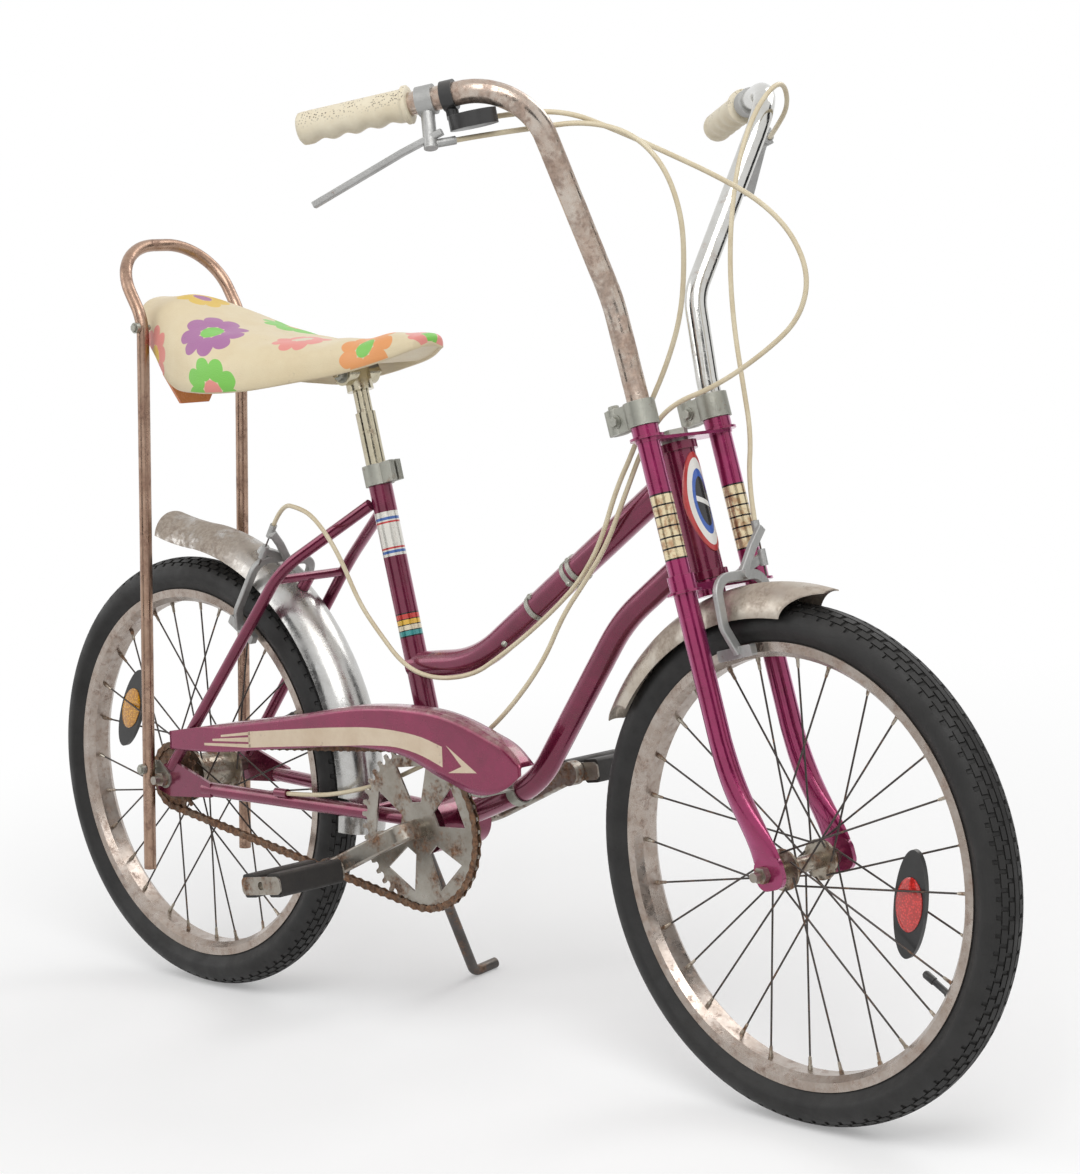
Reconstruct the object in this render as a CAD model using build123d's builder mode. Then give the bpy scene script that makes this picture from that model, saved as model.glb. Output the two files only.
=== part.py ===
"""A child's high-rise bicycle with a banana saddle, leaning on its side stand.

Everything is drawn upright first: x forward from the rear axle, y to the
rider's left, z up from the floor, in millimetres. The front end is then
turned a little about the steering axis, and the whole bicycle leans over
to its left until the tyres and the foot of the stand share one floor.
"""
from build123d import *
import os
from math import acos, atan2, cos, degrees, hypot, pi, radians, sin, tan

os.makedirs("parts", exist_ok=True)

# How it parks
lean_angle = 6.0             # lean to the left, on the side stand
park_steer = -2.0            # steering angle at rest, negative to the right

# Wheels
wheel_base = 888.0
wheel_radius = 250.0         # outside of the tyre
tyre_width = 47.5
rim_radius = 214.0           # top of the rim's flanges
rim_width = 33.0
rim_depth = 15.0
rim_wall = 1.6
spoke_count = 28
spoke_radius = 1.0
spoke_stagger = 4.4          # from the middle of a flange to the spokes on each face
spoke_lead = 62.0            # degrees a spoke runs ahead or behind round the hub
reflector_length = 104.0
reflector_width = 36.0
reflector_thickness = 5.0
reflector_place = 134.0      # from the axle to the middle of a reflector

# Hubs and axles
axle_radius = 4.7
axle_spare = 9.0             # thread that stands out past the nut
nut_radius = 8.4
nut_height = 7.0
flange_thickness = 3.0
front_flange_radius = 20.0
front_flange_at = 27.0
front_barrel_radius = 8.0
front_hub_half = 43.0
rear_flange_radius = 31.0
rear_flange_at = 27.0
rear_barrel_radius = 21.0
rear_hub_half = 36.0
driver_radius = 17.0         # where the rear sprocket sits on the hub
driver_end = 47.5
spacer_radius = 8.5

# Frame
head_angle = 74.05
fork_offset = 30.4           # from the steering axis forward to the axle
head_bottom = 284.0          # heights along the steering axis
head_top = 419.0
head_radius = 17.0
cup_radius = 20.5
cup_height = 8.0
steerer_radius = 13.0
seat_tube_top_x = 320.0
seat_tube_top = 592.0
seat_tube_radius = 12.7
seat_post_radius = 10.9
top_tube_radius = 14.3
top_tube_bend = 150.0
down_tube_radius = 12.7
down_tube_bends = [190.0, 110.0]
stay_radius = 6.5
seat_stay_bend = 150.0
chain_stay_radius = 8.0
crank_x = 408.0
crank_z = 236.0
shell_radius = 28.0
shell_wall = 3.0
shell_half = 34.0
dropout_y = 58.0             # middle of a rear dropout plate
dropout_thickness = 4.0
bridge_radius = 5.0

# Drive
chain_pitch = 12.7
ring_teeth = 42
sprocket_teeth = 18
roller_radius = 3.9
chain_line = 44.0            # chain plane, to the right of the middle
ring_thickness = 2.4
chain_inner = 3.6            # between the two rows of plates
plate_thickness = 1.3
plate_wide = 8.6
plate_waist = 5.4
crank_length = 115.0
crank_angle = 206.0          # right arm, from forward through up
spindle_radius = 11.0
cone_radius = 17.0
cup_depth = 8.0
arm_middle = 81.0            # middle of an arm at its pedal
arm_thickness = 11.0
arm_width = 20.0
eye_radius = 13.0
pedal_length = 90.0
pedal_width = 62.0
pedal_height = 25.0
pedal_tilt = 8.0
pedal_spindle_radius = 4.5
guard_inner = 65.2           # inner face of the chain guard
guard_sheet = 1.2
guard_flange = 20.0

# Fork and bars
leg_y = 50.5
leg_ahead = 13.5             # leg axis ahead of the steering axis
leg_radius = 11.0
leg_collar_low = 273.0       # lower flange, along the steering axis
leg_collar_high = 425.0      # upper flange
leg_top = 437.0
sleeve_radius = 13.3
flange_radius = 16.8
tip_width = 30.0
tip_thickness = 5.0
bar_radius = 11.1
clamp_height = 24.0
clamp_radius = 15.5
grip_radius = 15.5
grip_length = 110.0

# Fenders
fender_sheet = 1.2
front_fender_crown = 269.0   # outside radius from the axle
front_fender_edge = 238.0
front_fender_half = 31.0
rear_fender_crown = 292.0
rear_fender_edge = 266.0
rear_fender_half = 32.0

# Side stand, passenger bar and saddle
stand_pivot = Vector(334, 26, 206)
stand_foot = Vector(277, 153, 0)
stand_stowed = Vector(-0.93, 0.30, 0.05)
stand_radius = 6.0
stand_toe = 34.0
passenger_bar_radius = 7.0
passenger_bar_y = 71.0

# Clearances
fit = 0.05                   # running fit on a radius
seat_gap = 0.3               # pieces that rest on each other


def side_plane(y, origin=Vector(0, 0, 0)):
    """Upright plane at a y: its x runs forward, its y up, and it faces the right."""
    return Plane(origin=Vector(origin.X, y, origin.Z), x_dir=(1, 0, 0), z_dir=(0, -1, 0))


def turned_plane(y, origin, angle):
    """Upright plane at a y, its x turned up from forward by an angle."""
    a = radians(angle)
    place = Vector(origin.X, y, origin.Z)
    return Plane(origin=place, x_dir=(cos(a), 0, sin(a)), z_dir=(0, -1, 0))


# Places worked out from the driving dimensions
rear_axle = Vector(0, 0, wheel_radius)
front_axle = Vector(wheel_base, 0, wheel_radius)
crank_centre = Vector(crank_x, 0, crank_z)
upward = Vector(-cos(radians(head_angle)), 0, sin(radians(head_angle)))
forward = Vector(sin(radians(head_angle)), 0, cos(radians(head_angle)))
steer_foot = front_axle - forward * fork_offset
tyre_section = tyre_width / 2


def fork_point(ahead, y, height):
    """A point given from the steering axis: ahead of it, to its left, up along it."""
    return steer_foot + forward * ahead + Vector(0, y, 0) + upward * height


def fork_level(height):
    """The plane square to the steering axis at a height along it."""
    return Plane(origin=steer_foot + upward * height, x_dir=forward, z_dir=upward)


def rod(start, end, radius):
    """Straight round bar from one point to another."""
    with BuildPart() as bar:
        with BuildSketch(Plane(origin=start, z_dir=end - start)):
            Circle(radius)
        extrude(amount=(end - start).length)
    return bar.part


def tube(route, bends, radius):
    """Round bar along a route of points, its corners rounded to the bends."""
    with BuildPart() as bar:
        with BuildLine() as run:
            FilletPolyline(*route, radius=bends)
        with BuildSketch(Plane(origin=run.line @ 0, z_dir=run.line % 0)):
            Circle(radius)
        sweep(path=run.line)
    return bar.part


def flat_bar(route, bends, width, thickness, across):
    """Flat bar along a route, its width along the direction across at the start."""
    with BuildPart() as bar:
        with BuildLine() as run:
            FilletPolyline(*route, radius=bends)
        with BuildSketch(Plane(origin=run.line @ 0, x_dir=across, z_dir=run.line % 0)):
            RectangleRounded(width, thickness, 0.25 * min(width, thickness))
        sweep(path=run.line)
    return bar.part


def cross_bar(centre, low, high, radius):
    """Round bar across the bicycle, from one y to another."""
    return rod(Vector(centre.X, low, centre.Z), Vector(centre.X, high, centre.Z), radius)


def nut(centre, low, high, radius, hole):
    """Hexagon nut across the bicycle with its bore."""
    with BuildPart() as piece:
        with BuildSketch(side_plane(high, centre)):
            RegularPolygon(radius, 6)
            Circle(hole, mode=Mode.SUBTRACT)
        extrude(amount=high - low)
    return piece.part


# Frame tubes
head_low = fork_point(0, 0, head_bottom)
head_high = fork_point(0, 0, head_top)
seat_high = Vector(seat_tube_top_x, 0, seat_tube_top)
seat_up = (seat_high - crank_centre).normalized()
head_blank = rod(head_low - upward * 20, head_high + upward * 20, head_radius)
shell_blank = cross_bar(crank_centre, -shell_half - 20, shell_half + 20, shell_radius)
seat_blank = rod(crank_centre, seat_high + seat_up * 20, seat_tube_radius)

with BuildPart() as head_tube:
    with BuildSketch(fork_level(head_bottom)):
        Circle(head_radius)
    extrude(amount=head_top - head_bottom)
    with BuildSketch(fork_level(head_bottom), fork_level(head_top - cup_height)):
        Circle(cup_radius)
    extrude(amount=cup_height)
    with BuildSketch(fork_level(head_bottom)):
        Circle(steerer_radius + fit)
    extrude(amount=head_top - head_bottom, mode=Mode.SUBTRACT)

top_tube_route = [Vector(362, 0, 401), Vector(462, 0, 412), fork_point(0, 0, 392)]
top_bar = tube(top_tube_route, top_tube_bend, top_tube_radius)
with BuildPart() as top_tube:
    add(top_bar)
    add(head_blank, mode=Mode.SUBTRACT)
    add(seat_blank, mode=Mode.SUBTRACT)

down_tube_route = [fork_point(0, 0, 315), Vector(668, 0, 468), Vector(542, 0, 292), crank_centre]
down_bar = tube(down_tube_route, down_tube_bends, down_tube_radius)
with BuildPart() as down_tube:
    add(down_bar)
    add(head_blank, mode=Mode.SUBTRACT)
    add(shell_blank, mode=Mode.SUBTRACT)

with BuildPart() as seat_tube:
    add(rod(crank_centre, seat_high, seat_tube_radius))
    add(shell_blank, mode=Mode.SUBTRACT)
    add(down_bar, mode=Mode.SUBTRACT)
    with BuildSketch(Plane(origin=seat_high, z_dir=-seat_up)):
        Circle(seat_post_radius + fit)
    extrude(amount=120, mode=Mode.SUBTRACT)

with BuildPart() as bottom_bracket:
    with BuildSketch(side_plane(shell_half, crank_centre)):
        Circle(shell_radius)
        Circle(shell_radius - shell_wall, mode=Mode.SUBTRACT)
    extrude(amount=2 * shell_half)
    with BuildSketch(side_plane(shell_half, crank_centre),
                     side_plane(cup_depth - shell_half, crank_centre)):
        Circle(shell_radius - shell_wall)
        Circle(cone_radius + fit, mode=Mode.SUBTRACT)
    extrude(amount=cup_depth)

# Chain stays with their dropout plates, and the stop of the shift cable on the right one
stay_front = Vector(crank_x - 20, 25, crank_z + 4)
stay_rear = Vector(64, dropout_y - 4, wheel_radius - 6)
cable_stop = Vector(202, -49.2, 252.2)
cable_stop_length = 18.0
cable_stop_radius = 5.0
with BuildPart() as chain_stays:
    add(rod(cable_stop - Vector(seat_gap, 0, 0), cable_stop - Vector(cable_stop_length, 1.5, 0),
            cable_stop_radius))
    for side in (-1, 1):
        start = Vector(stay_front.X, side * stay_front.Y, stay_front.Z)
        end = Vector(stay_rear.X, side * stay_rear.Y, stay_rear.Z)
        with BuildSketch(Plane(origin=start, z_dir=end - start)):
            Circle(chain_stay_radius)
        extrude(amount=(end - start).length)
    add(shell_blank, mode=Mode.SUBTRACT)
    with BuildSketch(side_plane(-dropout_y, rear_axle), side_plane(dropout_y, rear_axle)):
        with BuildLine():
            Polyline((-15, 12), (-15, -14), (8, -20), (80, -14), (80, 2), (14, 22), close=True)
        make_face()
    extrude(amount=dropout_thickness / 2, both=True)
    with BuildSketch(side_plane(-dropout_y, rear_axle), side_plane(dropout_y, rear_axle)):
        Circle(axle_radius + fit)
    extrude(amount=dropout_thickness, both=True, mode=Mode.SUBTRACT)

# The seat stays bow out from the seat tube to the dropouts
seat_stay_top = Vector(316, 12, 572)
seat_stay_bow = Vector(208, 50, 500)
seat_stay_foot = Vector(10, dropout_y, wheel_radius + 14)
stay_bars = []
for side in (-1, 1):
    corners = (seat_stay_top, seat_stay_bow, seat_stay_foot)
    route = [Vector(p.X, side * p.Y, p.Z) for p in corners]
    stay_bars.append(tube(route, seat_stay_bend, stay_radius))
with BuildPart() as seat_stays:
    for bar in stay_bars:
        add(bar)
    add(seat_blank, mode=Mode.SUBTRACT)
    add(chain_stays.part, mode=Mode.SUBTRACT)

# Bridges that carry the rear fender, and the rear brake on the upper one
upper_bridge = Vector(197, 0, 488)
lower_bridge = Vector(297.6, 0, 239)
bridge_out = (upper_bridge - rear_axle).normalized()
with BuildPart() as stay_bridges:
    add(cross_bar(upper_bridge, -47, 47, bridge_radius))
    add(cross_bar(lower_bridge, -30, 30, bridge_radius))
    add(rod(upper_bridge, rear_axle + bridge_out * (rear_fender_crown + seat_gap), 7))
    for bar in stay_bars:
        add(bar, mode=Mode.SUBTRACT)
    add(chain_stays.part, mode=Mode.SUBTRACT)

# Saddle post, its collar and the clamp on top
post_step = seat_high + seat_up * 80
post_top = seat_high + seat_up * 128
post_neck = seat_post_radius - 2.2
collar_height = 22.0
collar_plane = Plane(origin=seat_high + seat_up * seat_gap, x_dir=(0, 1, 0), z_dir=seat_up)
with BuildPart() as seat_post:
    add(rod(seat_high - seat_up * 110, post_step, seat_post_radius))
    add(rod(post_step, post_top, post_neck))

with BuildPart() as seat_collar:
    with BuildSketch(collar_plane):
        Circle(seat_tube_radius + 3)
        with Locations((0, -19)):
            Rectangle(16, 22)
        Circle(seat_post_radius + fit, mode=Mode.SUBTRACT)
        with Locations((0, -22)):
            Rectangle(3, 28, mode=Mode.SUBTRACT)
    extrude(amount=collar_height)

saddle_clamp_height = 24.0
with BuildPart() as saddle_clamp:
    with BuildSketch(Plane(origin=post_top - seat_up * saddle_clamp_height, z_dir=seat_up)):
        Circle(14.5)
    extrude(amount=saddle_clamp_height)
    with BuildSketch(side_plane(22, post_top - seat_up * 4)):
        Circle(13)
    extrude(amount=44)
    with BuildSketch(side_plane(32, post_top - seat_up * 4)):
        Circle(4)
    extrude(amount=64)
    with BuildSketch(Plane(origin=post_top, z_dir=-seat_up)):
        Circle(post_neck + fit)
    extrude(amount=60, mode=Mode.SUBTRACT)

# Saddle: a padded cover, hollow below, over a pressed pan
# Each section: x, half width, top, thickness
saddle_sections = [
    (-18, 50, 800, 34),
    (20, 62, 799, 62),
    (70, 82, 783, 78),
    (130, 95, 764, 68),
    (190, 82, 753, 56),
    (250, 62, 749, 44),
    (320, 44, 750, 34),
    (378, 34, 755, 25),
    (400, 24, 753, 15),
]
saddle_side = 8.0
saddle_crown = 20.0
saddle_nose = 2              # sections at each end that stay solid
pan_sheet = 2.0


def saddle_plane(x, z):
    """Plane across the saddle at an x and a height."""
    return Plane(origin=Vector(x, 0, z), x_dir=(0, 1, 0), z_dir=(1, 0, 0))


with BuildPart() as saddle_hollow:
    for x, half, top, deep in saddle_sections[1:-saddle_nose]:
        hollow = deep - saddle_crown + 6
        with BuildSketch(saddle_plane(x, top - saddle_crown - hollow / 2)):
            Rectangle(2 * (half - saddle_side), hollow)
    loft()
with BuildPart() as saddle:
    for x, half, top, deep in saddle_sections:
        with BuildSketch(saddle_plane(x, top - deep / 2)):
            RectangleRounded(2 * half, deep, 0.42 * deep)
    loft()
    add(saddle_hollow.part, mode=Mode.SUBTRACT)

with BuildPart() as saddle_pan:
    for x, half, top, deep in saddle_sections[1:-saddle_nose]:
        ceiling = top - saddle_crown - seat_gap
        with BuildSketch(saddle_plane(x, ceiling - pan_sheet / 2)):
            Rectangle(2 * (half - saddle_side) - 14, pan_sheet)
    loft()

# Passenger bar: a tall hoop from below the axle, over the back of the saddle
bar_foot = Vector(-23, passenger_bar_y, 144)
bar_bolt = Vector(14.5, passenger_bar_y, 766)
bar_shoulder = Vector(15, passenger_bar_y, 774)
bar_crown = Vector(-38, passenger_bar_y, 858)
bar_corners = (bar_foot, bar_shoulder, bar_crown)
hoop_route = [Vector(p.X, -p.Y, p.Z) for p in bar_corners]
hoop_route += [Vector(p.X, p.Y, p.Z) for p in reversed(bar_corners)]
axle_bolt = Vector(-15.9, 0, 262)
bolt_radius = 3.0
with BuildPart() as passenger_bar:
    add(tube(hoop_route, [60, 62, 62, 60], passenger_bar_radius))
    for bolt in (bar_bolt, axle_bolt):
        with BuildSketch(side_plane(0, bolt)):
            Circle(bolt_radius + fit)
        extrude(amount=100, both=True, mode=Mode.SUBTRACT)

bar_outer = passenger_bar_y + passenger_bar_radius
bar_inner = passenger_bar_y - passenger_bar_radius
strap_inner = dropout_y + dropout_thickness / 2
with BuildPart() as passenger_bar_fixings:
    for side in (-1, 1):
        low, high = sorted((side * (bar_inner - 2), side * (bar_outer + 4)))
        add(cross_bar(bar_bolt, low, high, bolt_radius))
        low, high = sorted((side * (bar_outer + seat_gap), side * (bar_outer + 4)))
        add(cross_bar(bar_bolt, low, high, 6))
        low, high = sorted((side * (strap_inner + 2), side * (bar_outer + 4)))
        add(cross_bar(axle_bolt, low, high, bolt_radius))
        low, high = sorted((side * (bar_outer + seat_gap), side * (bar_outer + 4)))
        add(cross_bar(axle_bolt, low, high, 6))
        with BuildSketch(side_plane(side * (strap_inner + 1), rear_axle)):
            Circle(11)
            with BuildLine():
                Polyline((-24, 4), (-8, 4), (8, 8), (-8, 20), (-24, 20), close=True)
            make_face()
            Circle(axle_radius + fit, mode=Mode.SUBTRACT)
        extrude(amount=1, both=True)

# Panel under the back of the saddle
with BuildPart() as saddle_panel:
    with BuildSketch(saddle_plane(9, 0)):
        with BuildLine():
            Polyline((-42, 765), (-42, 712), (-20, 678), (20, 678), (42, 712), (42, 765), close=True)
        make_face()
    extrude(amount=4)
    add(saddle.part, mode=Mode.SUBTRACT)

# Rear axle with its nuts
rear_nut_face = strap_inner + 2
rear_axle_end = rear_nut_face + nut_height + axle_spare
with BuildPart() as rear_axle_set:
    add(cross_bar(rear_axle, -rear_axle_end, rear_axle_end, axle_radius))
    for side in (-1, 1):
        low, high = sorted((side * rear_nut_face, side * (rear_nut_face + nut_height)))
        add(nut(rear_axle, low, high, nut_radius, axle_radius - 0.5))
    spacer_end = dropout_y - dropout_thickness / 2 - fit
    add(cross_bar(rear_axle, -spacer_end, -driver_end - seat_gap, spacer_radius))
    add(cross_bar(rear_axle, rear_hub_half + seat_gap, spacer_end, spacer_radius))


# Fenders
def radial_plane(axle, angle):
    """Plane through an axle at an angle from forward: its x points away from the axle."""
    a = radians(angle)
    return Plane(origin=axle, x_dir=(cos(a), 0, sin(a)), z_dir=(-sin(a), 0, cos(a)))


def fender_face(edge, crown, half):
    """Arched section of a fender from its edges over its crown."""
    inner = half - fender_sheet
    with BuildSketch() as section:
        with BuildLine():
            ThreePointArc((edge, -half), (crown, 0), (edge, half))
            Line((edge, half), (edge, inner))
            ThreePointArc((edge, inner), (crown - fender_sheet, 0), (edge, -inner))
            Line((edge, -inner), (edge, -half))
        make_face()
    return section.sketch


front_fender_start = 80.0
front_fender_end = 154.0
with BuildPart() as front_fender:
    with BuildSketch(radial_plane(front_axle, front_fender_start)):
        add(fender_face(front_fender_edge, front_fender_crown, front_fender_half))
    revolve(axis=Axis(front_axle, (0, -1, 0)), revolution_arc=front_fender_end - front_fender_start)
    for end, turn in ((front_fender_start, 1), (front_fender_end, -1)):
        tip = radial_plane(front_axle, end)
        with BuildSketch(Plane(origin=tip.origin, x_dir=tip.z_dir, z_dir=tip.x_dir)):
            for side in (-1, 1):
                with BuildLine():
                    Polyline((turn * -5, side * 8), (turn * 46, side * 36), (turn * -5, side * 36),
                             close=True)
                make_face()
        extrude(amount=300, mode=Mode.SUBTRACT)

rear_fender_start = -8.0
rear_fender_end = 82.0
rear_fender_flare = [(rear_fender_end, 0), (90, 2), (97, 12)]    # angle and rise of the tail
with BuildPart() as rear_fender:
    with BuildSketch(radial_plane(rear_axle, rear_fender_start)):
        add(fender_face(rear_fender_edge, rear_fender_crown, rear_fender_half))
    revolve(axis=Axis(rear_axle, (0, -1, 0)), revolution_arc=rear_fender_end - rear_fender_start)
    for angle, rise in rear_fender_flare:
        with BuildSketch(radial_plane(rear_axle, angle)):
            add(fender_face(rear_fender_edge + rise, rear_fender_crown + rise, rear_fender_half))
    loft()
    for side in (-1, 1):
        start = Vector(stay_front.X, side * stay_front.Y, stay_front.Z)
        end = Vector(stay_rear.X, side * stay_rear.Y, stay_rear.Z)
        add(rod(start, end, chain_stay_radius + 3), mode=Mode.SUBTRACT)


# Brakes: two arms on one bolt, reaching round the fender to the rim
pad_radius = 207.5           # from the axle to the middle of a brake pad
pad_inner = 21.5             # inner face of a pad, from the middle of the wheel
pad_length = 44.0
pad_height = 11.0
brake_arm_y = 40.0


def brake(axle, angle, pivot, cable_side, bolt):
    """Side pull brake in the radial plane at an angle, on a bolt at the pivot radius."""
    base = radial_plane(axle, angle)

    def place(out, y, along=0.0):
        """A point of the brake: out from the axle, across, and along the wheel."""
        return axle + base.x_dir * out + Vector(0, y, 0) + base.z_dir * along

    with BuildPart() as caliper:
        add(rod(place(pivot, 0, bolt[0]), place(pivot, 0, bolt[1]), 4.5))
        for side, along, rise in ((cable_side, 4, 14), (-cable_side, -4, 42)):
            arm = [place(pivot, 0, along), place(pivot, side * (brake_arm_y - 2), along),
                   place(pad_radius + 26, side * brake_arm_y, along),
                   place(pad_radius, side * (pad_inner + 6), along)]
            add(flat_bar(arm, [18, 18], 6, 10, base.z_dir))
            lever = [place(pivot, 0, along), place(pivot + 0.6 * rise, cable_side * 22, along),
                     place(pivot + rise, cable_side * brake_arm_y, along)]
            add(flat_bar(lever, [12], 6, 9, base.z_dir))
            pad_plane = Plane(origin=place(pad_radius, side * pad_inner), x_dir=base.z_dir,
                              z_dir=(0, side, 0))
            with BuildSketch(pad_plane):
                RectangleRounded(pad_length, pad_height, 2)
            extrude(amount=8)
        for rise in (14, 42):
            low = place(pivot + rise - 8, cable_side * (brake_arm_y - 2), 0)
            high = place(pivot + rise + 8, cable_side * (brake_arm_y - 2), 0)
            add(rod(low, high, 4))
    return caliper.part


front_caliper = brake(front_axle, 104.0, 279.0, 1, (-12, 17))
rear_caliper = brake(rear_axle, 58.0, 301.0, -1, (-40, 14))
with BuildPart() as front_brake:
    add(front_caliper)
with BuildPart() as rear_brake:
    add(rear_caliper)
    add(stay_bridges.part, mode=Mode.SUBTRACT)


# Chain and its wheels
def pitch_radius(teeth):
    """Radius of the circle on which the chain's pins lie round a toothed wheel."""
    return chain_pitch / (2 * sin(pi / teeth))


ring_pitch = pitch_radius(ring_teeth)
sprocket_pitch = pitch_radius(sprocket_teeth)
chain_y = -chain_line
span = hypot(crank_centre.X - rear_axle.X, crank_centre.Z - rear_axle.Z)
slope = atan2(crank_centre.Z - rear_axle.Z, crank_centre.X - rear_axle.X)
wrap = acos((sprocket_pitch - ring_pitch) / span)
straight = span * sin(wrap)
ring_arc = 2 * wrap * ring_pitch
sprocket_arc = 2 * (pi - wrap) * sprocket_pitch
chain_length = 2 * straight + ring_arc + sprocket_arc
link_count = 2 * round(chain_length / chain_pitch / 2)


def chain_place(s, out):
    """Point of the chain at a distance along its loop, moved out from its middle line."""
    s %= chain_length
    up = slope + wrap
    down = slope - wrap
    if s < straight:
        foot = rear_axle + Vector(cos(up), 0, sin(up)) * (sprocket_pitch + out)
        return foot + Vector(cos(up - pi / 2), 0, sin(up - pi / 2)) * s
    s -= straight
    if s < ring_arc:
        a = up - s / ring_pitch
        return crank_centre + Vector(cos(a), 0, sin(a)) * (ring_pitch + out)
    s -= ring_arc
    if s < straight:
        foot = crank_centre + Vector(cos(down), 0, sin(down)) * (ring_pitch + out)
        return foot + Vector(cos(down - pi / 2), 0, sin(down - pi / 2)) * s
    s -= straight
    a = down - s / sprocket_pitch
    return rear_axle + Vector(cos(a), 0, sin(a)) * (sprocket_pitch + out)


link_step = chain_length / link_count
outer_edge = []
inner_edge = []
for n in range(2 * link_count):
    half_height = (plate_wide if n % 2 == 0 else plate_waist) / 2
    for edge, out in ((outer_edge, half_height), (inner_edge, -half_height)):
        spot = chain_place(n * link_step / 2, out)
        edge.append((spot.X, spot.Z))
with BuildPart() as chain:
    for y in (chain_y - chain_inner / 2, chain_y + chain_inner / 2 + plate_thickness):
        with BuildSketch(side_plane(y)):
            with BuildLine():
                Polyline(*outer_edge, close=True)
            make_face()
            with BuildLine():
                Polyline(*inner_edge, close=True)
            make_face(mode=Mode.SUBTRACT)
        extrude(amount=plate_thickness)
    pins = []
    mesh = 3.5 * chain_pitch
    for n in range(link_count):
        s = n * link_step
        on_top = mesh < s < straight - mesh
        below = straight + ring_arc + mesh < s < chain_length - sprocket_arc - mesh
        if on_top or below:
            spot = chain_place(s, 0)
            pins.append((spot.X, spot.Z))
    with BuildSketch(side_plane(chain_y + chain_inner / 2)):
        with Locations(*pins):
            RegularPolygon(roller_radius - 0.9, 8)
    extrude(amount=chain_inner)


def toothed_wheel(teeth, pitch, centre):
    """Toothed disc in the chain's plane."""
    with BuildPart() as wheel:
        with BuildSketch(side_plane(chain_y, centre)):
            Circle(pitch + 4.0)
            with PolarLocations(pitch, teeth):
                Circle(roller_radius + 0.1, mode=Mode.SUBTRACT)
            with PolarLocations(pitch + 4.6, teeth):
                Circle(roller_radius + 1.0, mode=Mode.SUBTRACT)
        extrude(amount=ring_thickness / 2, both=True)
    return wheel.part


ring_blank = toothed_wheel(ring_teeth, ring_pitch, crank_centre)
with BuildPart() as chainring:
    add(ring_blank)
    with BuildSketch(side_plane(chain_y, crank_centre)):
        Circle(spindle_radius + fit)
        with PolarLocations(47, 5, start_angle=crank_angle + 36):
            Trapezoid(46, 38, 68, rotation=90)
    extrude(amount=ring_thickness, both=True, mode=Mode.SUBTRACT)

sprocket_blank = toothed_wheel(sprocket_teeth, sprocket_pitch, rear_axle)
with BuildPart() as rear_sprocket:
    add(sprocket_blank)
    with BuildSketch(side_plane(chain_y, rear_axle)):
        Circle(driver_radius + fit)
    extrude(amount=ring_thickness, both=True, mode=Mode.SUBTRACT)

# One piece crank through the bottom bracket
pedal_eyes = []
arm_bars = []
for side, angle in ((-1, crank_angle), (1, crank_angle + 180)):
    reach = Vector(cos(radians(angle)), 0, sin(radians(angle)))
    across = Vector(-sin(radians(angle)), 0, cos(radians(angle)))
    eye = crank_centre + reach * crank_length + Vector(0, side * arm_middle, 0)
    route = [crank_centre + Vector(0, side * 52, 0), crank_centre + Vector(0, side * 70, 0), eye]
    arm_bars.append(flat_bar(route, [13], arm_width, arm_thickness, across))
    pedal_eyes.append(eye)
pedal_start = arm_middle + arm_thickness / 2 + 2
pedal_end = pedal_start + pedal_length
ring_face = chain_line - ring_thickness / 2
with BuildPart() as crank_arms:
    add(cross_bar(crank_centre, -54, 54, spindle_radius))
    add(cross_bar(crank_centre, -ring_face + fit, cup_depth - shell_half, cone_radius))
    add(cross_bar(crank_centre, shell_half - cup_depth, shell_half + 4, cone_radius))
    for side, bar, eye in zip((-1, 1), arm_bars, pedal_eyes):
        add(bar)
        half = arm_thickness / 2 + 1
        add(cross_bar(eye, side * arm_middle - half, side * arm_middle + half, eye_radius))
        low, high = sorted((side * arm_middle, side * (pedal_end - 3)))
        add(cross_bar(eye, low, high, pedal_spindle_radius))


def pedal_core(eye, side):
    """Barrel and end plates of a pedal on its spindle."""
    with BuildPart() as core:
        with BuildSketch(turned_plane(side * pedal_start, eye, pedal_tilt)):
            Circle(8.5)
        extrude(amount=-side * pedal_length)
        for y in (pedal_start, pedal_end - 2):
            with BuildSketch(turned_plane(side * y, eye, pedal_tilt)):
                RectangleRounded(pedal_width, pedal_height - 6, 6)
            extrude(amount=-side * 2)
        add(cross_bar(eye, -200, 200, pedal_spindle_radius + fit), mode=Mode.SUBTRACT)
    return core.part


def pedal_blocks(eye, side):
    """The two rubber blocks of a pedal, between its end plates."""
    with BuildPart() as blocks:
        with BuildSketch(turned_plane(side * (pedal_start + 2 + seat_gap), eye, pedal_tilt)):
            with Locations((-20, 0), (20, 0)):
                RectangleRounded(21, pedal_height, 4)
        extrude(amount=-side * (pedal_length - 4 - 2 * seat_gap))
    return blocks.part


right_core = pedal_core(pedal_eyes[0], -1)
left_core = pedal_core(pedal_eyes[1], 1)
right_blocks = pedal_blocks(pedal_eyes[0], -1)
left_blocks = pedal_blocks(pedal_eyes[1], 1)

# Chain guard: an outer sheet with its upper edge folded in over the chain
guard_y = -guard_inner
guard_top = [(20, 308), (225, 342), (354, 366), (470, 366), (570, 335)]
guard_low = [(583, 318), (572, 306), (517, 286), (463, 301), (393, 321), (267, 312), (85, 290),
             (24, 287)]
fold_top = [(85, 318.8)] + guard_top[1:]
fold_low = [(x, z - guard_sheet) for x, z in reversed(fold_top)]
with BuildPart() as chain_guard:
    with BuildSketch(side_plane(guard_y)):
        with BuildLine():
            Polyline(*guard_top, *guard_low, close=True)
        make_face()
    extrude(amount=guard_sheet)
    with BuildSketch(side_plane(guard_y)):
        with BuildLine():
            Polyline(*fold_top, *fold_low, close=True)
        make_face()
    extrude(amount=-guard_flange)

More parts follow.
